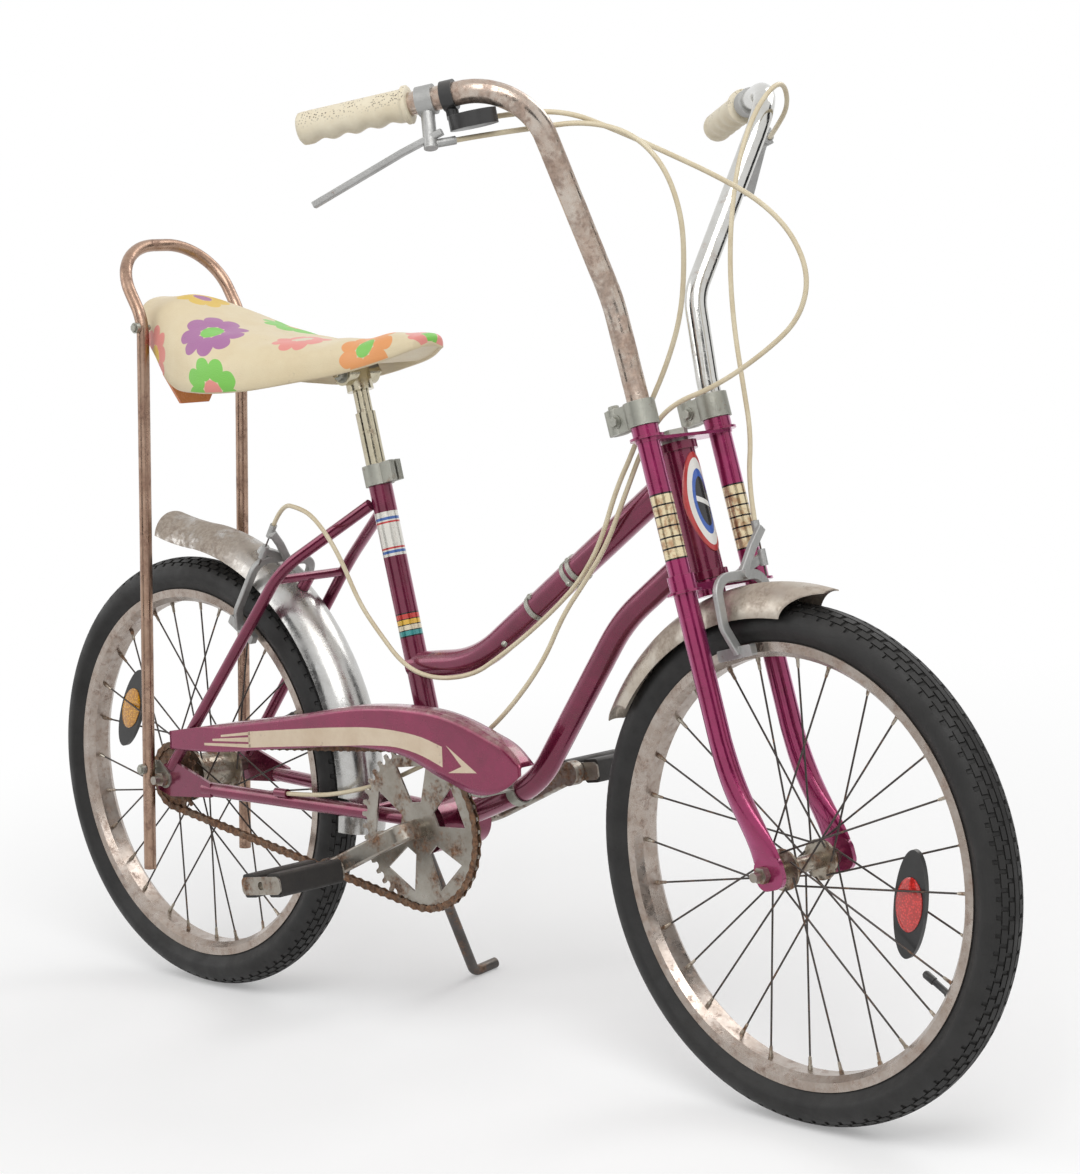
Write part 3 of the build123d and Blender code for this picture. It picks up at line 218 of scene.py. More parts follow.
# %% A bench for node trees
class Bench:
    """Adds nodes to one tree; each call gives the new node's output."""

    def __init__(self, tree):
        self.tree = tree

    def put(self, kind, sockets=None, out=0, **settings):
        node = self.tree.nodes.new(kind)
        for key, value in settings.items():
            setattr(node, key, value)
        for key, value in (sockets or {}).items():
            self.fill(node.inputs[key], value)
        return node.outputs[out]

    def math(self, operation, *values, clamp=False):
        return self.put("ShaderNodeMath", dict(enumerate(values)), operation=operation,
                        use_clamp=clamp)

    def times(self, a, b):
        return self.math("MULTIPLY", a, b)

    def scaled(self, a, b, c, clamp=False):
        """a times b, plus c."""
        return self.math("MULTIPLY_ADD", a, b, c, clamp=clamp)

    def vector(self, operation, *values, out=0):
        return self.put("ShaderNodeVectorMath", dict(enumerate(values)), out=out,
                        operation=operation)

    def join(self, output, socket):
        self.tree.links.new(output, socket)

    def mix(self, factor, a, b, blend="MIX"):
        return self.put("ShaderNodeMix", {0: factor, 6: a, 7: b}, out=2, data_type="RGBA",
                        blend_type=blend)

    def noise(self, vector, scale, detail=5, rough=0.55):
        return self.put("ShaderNodeTexNoise", {"Vector": vector, "Scale": scale,
                                               "Detail": detail, "Roughness": rough})

    def cells(self, vector, scale):
        return self.put("ShaderNodeTexVoronoi", {"Vector": vector, "Scale": scale})

    def remap(self, value, low, high, to_low=0.0, to_high=1.0):
        return self.put("ShaderNodeMapRange",
                        {0: value, 1: low, 2: high, 3: to_low, 4: to_high},
                        interpolation_type="SMOOTHSTEP")

    def place(self):
        return self.put("ShaderNodeTexCoord", out=3)

    def axis(self, vector, which):
        return self.put("ShaderNodeSeparateXYZ", {0: vector}, out=which)

    def group(self, tree, place, **sockets):
        node = self.put("ShaderNodeGroup", node_tree=tree).node
        for key, value in (("Vector", place), *sockets.items()):
            self.fill(node.inputs[key], value)
        return node.outputs[0] if len(node.outputs) == 1 else node.outputs.values()

    def fill(self, socket, value):
        if isinstance(value, bpy.types.NodeSocket):
            self.tree.links.new(value, socket)
        elif socket.type == "RGBA" and len(value) == 3:
            socket.default_value = (*value, 1)
        else:
            socket.default_value = value

    def close(self, shader):
        self.join(shader, self.tree.nodes.new("ShaderNodeOutputMaterial").inputs[0])


def new_material(name):
    """Material with an empty node tree; gives it and its bench."""
    material = bpy.data.materials.new(name)
    material.use_nodes = True
    material.node_tree.nodes.clear()
    return material, Bench(material.node_tree)


FLOAT, VECTOR, COLOR = "NodeSocketFloat", "NodeSocketVector", "NodeSocketColor"


def new_group(name, inputs, outputs):
    """Empty group with a Vector input and more named sockets; gives its tree, its bench, its
    vector, its input node and its output node."""
    tree = bpy.data.node_groups.new(name, "ShaderNodeTree")
    for label, kind, value in [("Vector", VECTOR, None)] + inputs:
        socket = tree.interface.new_socket(label, in_out="INPUT", socket_type=kind)
        if value is not None:
            socket.default_value = value
    for label, kind in outputs:
        tree.interface.new_socket(label, in_out="OUTPUT", socket_type=kind)
    given = tree.nodes.new("NodeGroupInput").outputs
    return tree, Bench(tree), given["Vector"], given, tree.nodes.new("NodeGroupOutput").inputs


# %% Group: blotches
blotches, bench, place, given, result = new_group(
    "blotches", [("Scale", FLOAT, 20.0), ("Amount", FLOAT, 0.5), ("Softness", FLOAT, 0.1)],
    [("Mask", FLOAT)])
coarse = bench.noise(place, given["Scale"], 6, 0.6)
fine = bench.noise(place, bench.times(given["Scale"], 6.3), 4, 0.6)
both = bench.math("ADD", bench.times(coarse, 0.72), bench.times(fine, 0.28))
middle = bench.scaled(given["Amount"], -0.5, 0.75)
low = bench.math("SUBTRACT", middle, given["Softness"])
high = bench.math("ADD", middle, given["Softness"])
bench.join(bench.remap(both, low, high), result["Mask"])

# %% Group: worn edges
worn_edges, bench, place, given, result = new_group(
    "worn edges", [("Radius", FLOAT, 0.0015), ("Amount", FLOAT, 0.5)], [("Mask", FLOAT)])
rounded = bench.put("ShaderNodeBevel", {"Radius": given["Radius"]}, samples=4)
plain = bench.put("ShaderNodeNewGeometry", out=1)
edge = bench.remap(bench.vector("DOT_PRODUCT", rounded, plain, out=1), 0.985, 0.80)
broken = bench.remap(bench.noise(place, 160.0, 6, 0.7), 0.35, 0.62)
edge = bench.math("MULTIPLY", bench.times(edge, broken), given["Amount"], clamp=True)
bench.join(edge, result["Mask"])

# %% Group: settled dust
settled_dust, bench, place, given, result = new_group(
    "settled dust", [("Amount", FLOAT, 0.5)], [("Mask", FLOAT)])
lying = bench.remap(bench.axis(bench.put("ShaderNodeNewGeometry", out=1), 2), 0.35, 0.95)
speckled = bench.remap(bench.noise(place, 55.0, 8, 0.7), 0.30, 0.70)
bench.join(bench.times(bench.times(lying, speckled), given["Amount"]), result["Mask"])

# %% Group: fine scratches
fine_scratches, bench, place, given, result = new_group(
    "fine scratches", [("Amount", FLOAT, 0.5)], [("Mask", FLOAT)])
lines = []
for turn_z, stretch in ((0.4, 14.0), (-0.9, 11.0)):
    laid = bench.put("ShaderNodeMapping", {"Vector": place, "Rotation": (0.5, turn_z, turn_z * 2),
                                           "Scale": (30.0, 30.0 * stretch, 30.0 * stretch)})
    lines.append(bench.remap(bench.noise(laid, 1.0, 2, 0.5), 0.66, 0.72))
bench.join(bench.times(bench.math("MAXIMUM", *lines), given["Amount"]), result["Mask"])

# %% Group: rust
dark_rust, light_rust = (0.075, 0.036, 0.020), (0.26, 0.135, 0.070)
rust_bloom, bench, place, given, result = new_group(
    "rust bloom", [("Scale", FLOAT, 25.0), ("Amount", FLOAT, 0.5),
                   ("Dark", COLOR, (*dark_rust, 1)), ("Light", COLOR, (*light_rust, 1))],
    [("Color", COLOR), ("Mask", FLOAT), ("Height", FLOAT)])
spread = bench.group(blotches, place, Scale=given["Scale"], Amount=given["Amount"],
                     Softness=0.09)
pitted = bench.remap(bench.cells(place, 420.0), 0.42, 0.10)
grain = bench.noise(place, 210.0, 6, 0.7)
tone = bench.mix(bench.remap(grain, 0.35, 0.65), given["Dark"], given["Light"])
pits = bench.times(pitted, bench.remap(grain, 0.45, 0.62))
some_pits = bench.times(pits, bench.math("MINIMUM", given["Amount"], 0.8))
bench.join(tone, result["Color"])
bench.join(bench.math("MAXIMUM", spread, some_pits), result["Mask"])
bench.join(bench.math("SUBTRACT", bench.times(grain, 0.5), pits), result["Height"])
print("groups", sorted(g.name for g in bpy.data.node_groups))

# %% [markdown]
# ## A finish for painted and plated metal
# The bicycle's paints, chromes and castings differ in numbers rather than in kind: a base
# colour with a second one mottled in, a sheen, some rust, rubbed edges and dust. One function
# builds them all, and each finish gives its own numbers and, where it needs one, a pattern.

# %% Finish builder
def finish(name, color, second, metallic, rough, mottle=18.0, painted_sheen=None, rust=0.0,
           rust_scale=25.0, rust_where=None, rust_full=1.0, rust_tones=(dark_rust, light_rust),
           edge=0.0, edge_color=(0.10, 0.075, 0.06), dust=0.0, dust_color=(0.42, 0.36, 0.30),
           scratch=0.25, coat=0.0, grain=(240.0, 0.0001), pattern=None):
    """Material for a hard surface. rust_where is (axis, from, to) in metres: no rust at the
    first place, full at the second. rust_full is how far rust covers where it is thickest.
    grain is the scale and depth of the bump. pattern takes the bench, the place and the
    colour. The optional third colour is a painted sheen, mixed in at glancing angles."""
    material, bench = new_material(name)
    place = bench.place()
    shade = bench.mix(bench.group(blotches, place, Scale=mottle, Amount=0.5, Softness=0.22),
                      color, second)
    # Painted sheen: towards glancing angles the colour turns to a brighter one, standing in for
    # reflected light.
    if painted_sheen:
        glance = bench.put("ShaderNodeLayerWeight", {"Blend": 0.45}, out=1)
        shade = bench.mix(bench.remap(glance, 0.15, 0.85), shade, painted_sheen)
    if pattern:
        shade = pattern(bench, place, shade)
    roughness = bench.remap(bench.noise(place, 32.0, 6, 0.65), 0.3, 0.7, *rough)
    metal = metallic
    height = bench.noise(place, grain[0], 4, 0.6)
    if scratch:
        marks = bench.group(fine_scratches, place, Amount=scratch)
        roughness = bench.scaled(marks, 0.25, roughness, clamp=True)
        height = bench.scaled(marks, -0.6, height)
    if edge:
        rub = bench.group(worn_edges, place, Amount=edge)
        shade = bench.mix(rub, shade, edge_color)
        roughness = bench.scaled(rub, 0.25, roughness, clamp=True)
    if rust:
        tone, mask, bump = bench.group(rust_bloom, place, Scale=rust_scale, Amount=rust,
                                       Dark=rust_tones[0], Light=rust_tones[1])
        mask = bench.times(mask, rust_full)
        if rust_where:
            mask = bench.times(mask, bench.remap(bench.axis(place, rust_where[0]),
                                                 *rust_where[1:]))
        shade = bench.mix(mask, shade, tone)
        roughness = bench.math("MAXIMUM", roughness, bench.times(mask, 0.78))
        metal = bench.scaled(mask, -0.75 * metallic, metallic)
        height = bench.scaled(bench.times(bump, mask), 2.5, height)
    if dust:
        lying = bench.group(settled_dust, place, Amount=dust)
        shade = bench.mix(lying, shade, dust_color)
        roughness = bench.math("MAXIMUM", roughness, bench.times(lying, 0.85))
        if metallic:
            metal = bench.times(metal, bench.math("SUBTRACT", 1.0, lying))
    bump = bench.put("ShaderNodeBump", {"Height": height, "Distance": grain[1], "Strength": 0.8})
    bench.close(bench.put("ShaderNodeBsdfPrincipled", {
        "Base Color": shade, "Roughness": roughness, "Normal": bump, "Metallic": metal,
        "Coat Weight": coat, "Coat Roughness": 0.08}))
    return material


def clad(material, *names):
    """Gives CAD nodes a finish, in every slot they have."""
    for name in names:
        for slot in nodes[name].material_slots:
            slot.material = material
    print(material.name, "on", len(names), "nodes")


# %% [markdown]
# ## Patterns that follow a tube
# Bands on a fork leg or a tube are printed square to it. Object coordinates are turned by one
# Mapping node until one axis runs along the tube, and then a band is a range of that axis.

# %% Local coordinates
def local_place(bench, place, origin, x_way, z_way, front=False):
    """Object coordinates turned so that z runs along z_way, x along x_way, from origin."""
    start = parked(origin, front)
    x = unit(parked(np.asarray(origin) + x_way, front) - start)
    z = unit(parked(np.asarray(origin) + z_way, front) - start)
    y = np.cross(z, x)
    rows = np.array([x, y, z])
    angles = Matrix(rows.tolist()).to_euler("XYZ")
    return bench.put("ShaderNodeMapping", {"Vector": place, "Rotation": tuple(angles),
                                           "Location": tuple(-rows @ start)})


def stripes(bench, along, shade, marks):
    """Lays coloured marks (from, to, colour) across a shade, along one axis, in metres."""
    for low, high, color in marks:
        over = bench.math("GREATER_THAN", along, low)
        under = bench.math("LESS_THAN", along, high)
        shade = bench.mix(bench.times(over, under), shade, color)
    return shade


cream = (0.72, 0.64, 0.47)
ink = (0.012, 0.010, 0.012)


def leg_bands(bench, place, shade):
    """Six mottled cream bands between fine dark lines round each fork leg."""
    at = local_place(bench, place, steer_foot, forward, upward, front=True)
    tan = bench.mix(bench.remap(bench.noise(place, 130.0, 5), 0.45, 0.62), (0.78, 0.66, 0.42),
                    (0.48, 0.30, 0.16))
    band = 0.0105
    lines = [(0.3060 + band * n, 0.3076 + band * n, ink) for n in range(7)]
    return stripes(bench, bench.axis(at, 2), shade, [(0.3062, 0.3692, tan)] + lines)


seat_tube_top = np.array([0.320, 0, 0.592])
seat_up = unit(seat_tube_top - crank_centre)


def tube_prints(bench, place, shade):
    """Rainbow band and blank pale label round the tube that carries the saddle."""
    at = local_place(bench, place, crank_centre, np.array([0, 1, 0]), seat_up)
    teal, gold, red, label = (0.05, 0.30, 0.30), (0.75, 0.45, 0.06), (0.55, 0.05, 0.04), (
        0.74, 0.72, 0.66)
    blue_line, red_line = (0.06, 0.14, 0.40), (0.55, 0.05, 0.05)
    marks = [(0.2010, 0.2270, ink), (0.2025, 0.2075, teal), (0.2085, 0.2135, cream),
             (0.2145, 0.2195, gold), (0.2205, 0.2255, red), (0.2890, 0.3370, label),
             (0.2920, 0.2950, blue_line), (0.2965, 0.2985, red_line),
             (0.3280, 0.3310, blue_line), (0.3245, 0.3265, red_line)]
    return stripes(bench, bench.axis(at, 2), shade, marks)


def badge_print(bench, place, shade):
    """Oval badge: red rim, pale ring, blue ring and a black field with a plain pale bar."""
    at = local_place(bench, place, fork_point(0, 0, 0.3577), np.array([0, 1.0, 0]), upward)
    half_wide, half_tall = 0.016, 0.049
    x = bench.math("DIVIDE", bench.axis(at, 0), half_wide)
    z = bench.math("DIVIDE", bench.axis(at, 2), half_tall)
    away = bench.math("SQRT", bench.math("ADD", bench.times(x, x), bench.times(z, z)))
    for edge, color in ((0.88, (0.76, 0.74, 0.70)), (0.66, (0.04, 0.11, 0.42)),
                        (0.50, (0.012, 0.012, 0.014))):
        inside = bench.math("LESS_THAN", away, edge)
        shade = bench.mix(inside, shade, color)
    bar = bench.math("LESS_THAN", bench.math("ABSOLUTE", bench.scaled(x, 0.16, z)), 0.055)
    return bench.mix(bench.times(bar, inside), shade, (0.74, 0.73, 0.70))


# %% [markdown]
# ## Candy paint
# The frame wears a burgundy candy paint, a tinted clear coat over a bright ground. It is deep
# where seen square on and brighter at a glance, a painted sheen that stands in for reflected
# light. Layer Weight mixes the two, and years in a shed add rubbed edges and pale dust on
# what faces up.

# %% Paints
# Each paint's third and brightest colour is a painted sheen, mixed in at glancing angles.
frame_paint = finish("frame candy paint", (0.19, 0.012, 0.052), (0.12, 0.010, 0.032), 0.6,
                     (0.16, 0.32), painted_sheen=(0.34, 0.055, 0.14), edge=0.8, dust=0.35, coat=0.6,
                     rust=0.10, rust_scale=40.0)
tube_paint = finish("printed tube paint", (0.19, 0.012, 0.052), (0.12, 0.010, 0.032), 0.45,
                    (0.18, 0.34), painted_sheen=(0.34, 0.055, 0.14), edge=0.6, dust=0.35, coat=0.6,
                    rust=0.10, rust_scale=40.0, pattern=tube_prints)
fork_paint = finish("fork candy paint", (0.35, 0.020, 0.12), (0.24, 0.014, 0.075), 0.6,
                    (0.14, 0.28), painted_sheen=(0.56, 0.13, 0.33), edge=0.7, dust=0.3, coat=0.6,
                    rust=0.08, rust_scale=45.0, pattern=leg_bands)
guard_paint = finish("guard candy paint", (0.25, 0.016, 0.068), (0.16, 0.012, 0.042), 0.55,
                     (0.18, 0.34), painted_sheen=(0.40, 0.07, 0.18), edge=1.0, dust=0.65, coat=0.5,
                     rust=0.14, rust_scale=30.0)
badge_enamel = finish("badge enamel", (0.50, 0.035, 0.035), (0.42, 0.03, 0.03), 0.0, (0.2, 0.35),
                      edge=0.6, coat=0.5, pattern=badge_print)
clad(frame_paint, "head_tube", "top_tube", "down_tube", "bottom_bracket", "chain_stays",
     "back_stays", "stay_bridges")
clad(tube_paint, "saddle_tube")
clad(fork_paint, "fork_leg_right", "fork_leg_left", "fork_plates")
clad(badge_enamel, "badge")

# %% [markdown]
# ## Chrome, zinc and bare steel
# Old chrome fails in its own way: it stays bright where it was wiped and turns brown and
# pitted where it wasn't. Mirror metal is a metallic base with little roughness, and the rust
# group lays brown, rough, less metallic patches over it. The right bar is far rustier than
# the left, so each bar has a finish of its own.

# %% Metals
haze = ((0.20, 0.115, 0.080), (0.46, 0.32, 0.245))
bar_rusty = finish("rusted bar chrome", (0.60, 0.55, 0.49), (0.47, 0.36, 0.29), 1.0, (0.14, 0.32),
                   rust=0.52, rust_scale=34.0, mottle=26.0, rust_full=0.66, rust_tones=haze)
bar_clean = finish("bar chrome", (0.66, 0.66, 0.64), (0.54, 0.53, 0.50), 1.0, (0.08, 0.2),
                   rust=0.24, rust_scale=46.0, rust_full=0.6, rust_tones=haze)
hoop_chrome = finish("hoop chrome gone brown", (0.46, 0.32, 0.24), (0.33, 0.21, 0.15), 1.0,
                     (0.2, 0.42), rust=0.40, rust_scale=60.0, mottle=34.0, rust_full=0.7,
                     rust_tones=((0.13, 0.065, 0.045), (0.34, 0.20, 0.14)))
rim_chrome = finish("rim chrome with patina", (0.47, 0.42, 0.38), (0.35, 0.285, 0.24), 1.0,
                    (0.2, 0.4), rust=0.38, rust_scale=90.0, mottle=50.0, rust_full=0.6,
                    rust_tones=((0.15, 0.085, 0.06), (0.36, 0.25, 0.19)))
post_chrome = finish("brassy worn chrome", (0.60, 0.56, 0.44), (0.48, 0.43, 0.31), 1.0,
                     (0.12, 0.28), rust=0.26, rust_scale=50.0)
dull_zinc = finish("dull zinc", (0.42, 0.42, 0.37), (0.31, 0.31, 0.27), 0.75, (0.34, 0.5),
                   rust=0.22, rust_scale=60.0, edge=0.5, edge_color=(0.6, 0.6, 0.56),
                   grain=(330.0, 0.0003))
dark_steel = finish("dark oiled steel", (0.13, 0.12, 0.115), (0.08, 0.07, 0.065), 0.8,
                    (0.36, 0.55), rust=0.36, rust_scale=48.0, edge=0.7,
                    edge_color=(0.40, 0.38, 0.36), dust=0.35)
drive_steel = finish("tarnished drive steel", (0.40, 0.38, 0.34), (0.27, 0.24, 0.20), 0.95,
                     (0.26, 0.46), rust=0.38, rust_scale=42.0, edge=0.5,
                     edge_color=(0.62, 0.60, 0.56))
chain_steel = finish("rusty chain steel", (0.20, 0.145, 0.10), (0.12, 0.08, 0.055), 0.7,
                     (0.42, 0.62), rust=0.62, rust_scale=120.0, edge=0.5,
                     edge_color=(0.42, 0.38, 0.33), grain=(500.0, 0.0003))
dusty = ((0.24, 0.18, 0.135), (0.44, 0.37, 0.30))
fender_bright = finish("front fender steel", (0.56, 0.52, 0.46), (0.45, 0.39, 0.32), 0.95,
                       (0.26, 0.46), rust=0.50, rust_scale=24.0, dust=0.7, edge=0.5,
                       rust_full=0.75, rust_tones=dusty, dust_color=(0.46, 0.39, 0.32))
fender_tail = finish("rear fender steel", (0.58, 0.58, 0.57), (0.44, 0.43, 0.41), 0.95,
                     (0.16, 0.34), rust=0.62, rust_scale=26.0, rust_where=(0, -0.28, -0.38),
                     dust=0.6, edge=0.4, rust_full=0.85, rust_tones=dusty,
                     dust_color=(0.42, 0.36, 0.30))
cast_grey = finish("cast grey alloy", (0.46, 0.46, 0.45), (0.34, 0.34, 0.33), 0.6, (0.38, 0.55),
                   rust=0.12, rust_scale=70.0, edge=0.5, edge_color=(0.66, 0.66, 0.64),
                   grain=(420.0, 0.0004))
hub_steel = finish("hub steel", (0.47, 0.44, 0.38), (0.30, 0.25, 0.19), 0.95, (0.22, 0.42),
                   rust=0.42, rust_scale=60.0)
spoke_steel = finish("spoke steel", (0.085, 0.075, 0.07), (0.05, 0.042, 0.038), 0.6, (0.4, 0.6),
                     rust=0.30, rust_scale=70.0)
pan_steel = finish("grey pan paint", (0.36, 0.36, 0.37), (0.27, 0.27, 0.28), 0.2, (0.4, 0.55),
                   edge=0.5, rust=0.1)
clad(bar_rusty, "handlebar_right")
clad(bar_clean, "handlebar_left")
clad(hoop_chrome, "passenger_bar")
clad(rim_chrome, "front_rim", "rear_rim")
clad(post_chrome, "saddle_post", "saddle_clamp")
clad(dull_zinc, "handlebar_clamps", "post_collar", "passenger_bar_fixings", "steerer",
     "guard_strap")
clad(dark_steel, "kickstand", "stand_bracket")
clad(drive_steel, "chainring", "crank_arms", "front_axle", "rear_axle", "pedal_right_core",
     "pedal_left_core")
clad(chain_steel, "chain", "rear_sprocket")
clad(fender_bright, "front_fender")
clad(fender_tail, "rear_fender")
clad(cast_grey, "front_brake", "rear_brake", "brake_lever_right", "brake_lever_left")
clad(hub_steel, "front_hub", "rear_hub")
clad(spoke_steel, "front_spokes", "rear_spokes")
clad(pan_steel, "saddle_pan")

# %% [markdown]
# ## Rubber and plastic
# Rubber goes grey where it gathers dust, vinyl grips hold black dirt in their pores, and the
# reflectors are moulded with a grid of small facets, whose light and shade are painted into the
# lens colour as Voronoi cells, darker towards their edges.

# %% Rubbers and plastics
def grimy_pores(bench, place, shade):
    """Black specks where hands have left dirt in the pores."""
    speck = bench.remap(bench.cells(place, 420.0), 0.42, 0.18)
    up = bench.axis(bench.put("ShaderNodeNewGeometry", out=1), 2)
    where = bench.times(bench.remap(bench.noise(place, 60.0, 5), 0.36, 0.58),
                        bench.remap(up, -0.15, 0.75))
    return bench.mix(bench.times(speck, where), shade, (0.07, 0.05, 0.038))


def painted_facet_shade(bench, place, shade):
    """Painted shade of small prism facets: each Voronoi cell keeps the lens colour at its middle
    and turns darker towards its edges.
    """
    return bench.mix(bench.remap(bench.cells(place, 420.0), 0.1, 0.6), shade,
                     (0.55, 0.45, 0.40), "MULTIPLY")


tyre_rubber = finish("tyre rubber", (0.008, 0.0077, 0.0075), (0.014, 0.013, 0.012), 0.0,
                     (0.5, 0.68), mottle=30.0, dust=0.08, dust_color=(0.07, 0.063, 0.056),
                     scratch=0.3, edge=0.35, edge_color=(0.05, 0.047, 0.044),
                     grain=(700.0, 0.0002))
pedal_rubber = finish("pedal rubber", (0.016, 0.015, 0.0145), (0.028, 0.025, 0.022), 0.0,
                      (0.5, 0.7), dust=0.35, dust_color=(0.12, 0.10, 0.085), edge=0.6,
                      edge_color=(0.07, 0.06, 0.055), grain=(600.0, 0.0003))
grip_vinyl = finish("cream grip vinyl", (0.80, 0.73, 0.57), (0.70, 0.61, 0.44), 0.0, (0.38, 0.55),
                    mottle=30.0, scratch=0.1, pattern=grimy_pores, grain=(520.0, 0.0002))
cable_cream = finish("cream cable casing", (0.74, 0.66, 0.48), (0.62, 0.52, 0.35), 0.0,
                     (0.3, 0.45), mottle=40.0, scratch=0.0)
panel_plastic = finish("orange panel plastic", (0.76, 0.27, 0.06), (0.66, 0.20, 0.045), 0.0,
                       (0.2, 0.34), edge=1.0, edge_color=(0.70, 0.05, 0.04), coat=0.4,
                       scratch=0.3)
black_plastic = finish("black plastic", (0.022, 0.022, 0.023), (0.035, 0.034, 0.033), 0.0,
                       (0.28, 0.45), dust=0.3, dust_color=(0.2, 0.18, 0.16), edge=0.5,
                       edge_color=(0.12, 0.12, 0.12))
# The facet pattern on both lenses is painted shade, darker towards each cell's edge.
red_lens = finish("red lens", (0.85, 0.05, 0.045), (0.78, 0.04, 0.035), 0.0, (0.12, 0.2),
                  coat=0.8, pattern=painted_facet_shade, scratch=0.1)
amber_lens = finish("amber lens", (0.95, 0.50, 0.03), (0.88, 0.42, 0.02), 0.0, (0.12, 0.2),
                    coat=0.8, pattern=painted_facet_shade, scratch=0.1)
clad(pedal_rubber, "pedal_right_blocks", "pedal_left_blocks")
clad(black_plastic, "shifter", "front_reflector", "rear_reflector")
clad(panel_plastic, "saddle_panel")

# %% [markdown]
# ## The cables
# Three cream casings run from the bars: one to the front brake, one over the frame to the
# rear brake, one to the gear hub. Each is a fixed length of springy casing, so its line is
# one smooth curve through given points, and it leaves its lever straight. Two of them cross
# the steering, so each is one fixed mesh whose front part is turned as the fork is and whose
# back part lies as the frame does.

# %% Cable routes
right_barrel = np.array([0.6794011, -0.2093838, 0.9387612])
right_way = np.array([0.46078, 0.87677, 0.13765])
left_barrel = np.array([0.6866853, 0.2153868, 0.9392589])
left_way = np.array([0.76055, -0.62973, 0.15813])
rear_brake_front = [right_barrel, right_barrel + 0.030 * right_way, (0.712, -0.138, 0.948),
                    (0.745, -0.108, 0.952), (0.783, -0.086, 0.940), (0.812, -0.075, 0.910),
                    (0.822, -0.064, 0.866), (0.815, -0.054, 0.822), (0.797, -0.042, 0.770),
                    (0.768, -0.034, 0.722), (0.738, -0.031, 0.680)]
rear_brake_back = [(0.716, -0.030, 0.640), (0.688, -0.027, 0.600), (0.661, -0.022, 0.547),
                   (0.628, -0.016, 0.510), (0.596, -0.014, 0.483), (0.545, -0.012, 0.447),
                   (0.505, -0.015, 0.421), (0.468, -0.016, 0.400), (0.415, -0.020, 0.392),
                   (0.372, -0.024, 0.403), (0.338, -0.030, 0.441), (0.319, -0.037, 0.470),
                   (0.301, -0.045, 0.518), (0.283, -0.050, 0.546), (0.263, -0.051, 0.563),
                   (0.240, -0.048, 0.569), (0.207, -0.042, 0.572), (0.1863, -0.038, 0.5482)]
shift_front = [(0.6912, -0.1767, 0.9585), (0.703, -0.155, 0.962), (0.733, -0.118, 0.962),
               (0.757, -0.082, 0.944), (0.781, -0.050, 0.925), (0.815, -0.008, 0.898),
               (0.846, 0.020, 0.872), (0.870, 0.036, 0.840), (0.884, 0.041, 0.800),
               (0.873, 0.038, 0.762), (0.842, 0.029, 0.734), (0.790, 0.012, 0.700),
               (0.744, -0.010, 0.682)]
shift_back = [(0.722, -0.022, 0.645), (0.696, -0.022, 0.596), (0.670, -0.023, 0.545),
              (0.636, -0.021, 0.506), (0.606, -0.022, 0.472), (0.578, -0.024, 0.422),
              (0.530, -0.030, 0.368), (0.478, -0.030, 0.330), (0.410, -0.028, 0.305),
              (0.345, -0.034, 0.276), (0.280, -0.043, 0.259), (0.240, -0.047, 0.254),
              (0.202, -0.0492, 0.2522)]
front_brake_route = [left_barrel, left_barrel + 0.028 * left_way, (0.745, 0.180, 0.968),
                     (0.764, 0.148, 0.993), (0.770, 0.104, 0.966), (0.773, 0.072, 0.917),
                     (0.774, 0.057, 0.862), (0.776, 0.050, 0.808), (0.781, 0.048, 0.753),
                     (0.792, 0.046, 0.699), (0.803, 0.043, 0.651), (0.800, 0.040, 0.606),
                     (0.8083, 0.038, 0.5696)]

# %% Cable curves and their tubes
cable_thickness = 0.005


def cable_curve(name, points):
    """One smooth open spline that is pulled towards the points and starts and ends on them."""
    data = bpy.data.curves.new(name, "CURVE")
    data.dimensions = "3D"
    spline = data.splines.new("NURBS")
    spline.points.add(len(points) - 1)
    spline.points.foreach_set("co", np.c_[points, np.ones(len(points))].ravel())
    spline.order_u = 3
    spline.use_endpoint_u = True
    data.resolution_u = 10
    piece = bpy.data.objects.new(name, data)
    scene.collection.objects.link(piece)
    return piece


def centre_line(curve):
    """Points along a curve that has no bevel, in order."""
    bpy.context.view_layer.update()
    mesh = bpy.data.meshes.new_from_object(curve)
    line = np.empty(len(mesh.vertices) * 3)
    mesh.vertices.foreach_get("co", line)
    bpy.data.meshes.remove(mesh)
    return line.reshape(-1, 3)


def run_length(line):
    """Sum of the steps along a line."""
    return float(np.linalg.norm(np.diff(line, axis=0), axis=1).sum())


for name, ahead_points, back_points, node in (
        ("rear_brake_cable", rear_brake_front, rear_brake_back, "cable_rear_brake"),
        ("gear_cable", shift_front, shift_back, "cable_shift")):
    points = np.vstack([parked(ahead_points, front=True), parked(back_points)])
    guide = cable_curve(name + "_line", points)
    line = centre_line(guide)
    bpy.data.objects.remove(guide)
    cable = make_piece(name, [pipe(line, cable_thickness / 2)], None, cable_cream,
                       upright=False)
    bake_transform(cable)
    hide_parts(node)
    print(name, "is", round(run_length(line), 3), "m long")

front_cable = cable_curve("front_brake_cable", parked(front_brake_route, front=True))
line = centre_line(front_cable)
front_cable.data.bevel_depth = cable_thickness / 2
front_cable.data.bevel_resolution = 3
front_cable.data.use_fill_caps = True
front_cable.data.materials.append(cable_cream)
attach(front_cable, "fork")
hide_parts("cable_front_brake")
print("front_brake_cable is", round(run_length(line), 3), "m long")

# %% [markdown]
# ## Light and floor
# The picture is a plain studio shot on white. The world is white to the camera and in
# reflections and a little dimmer as a light, one large soft lamp gives direction, and dark
# cards that only reflections see put the long dark lines into the chrome, as a dark room
# does in a real studio.

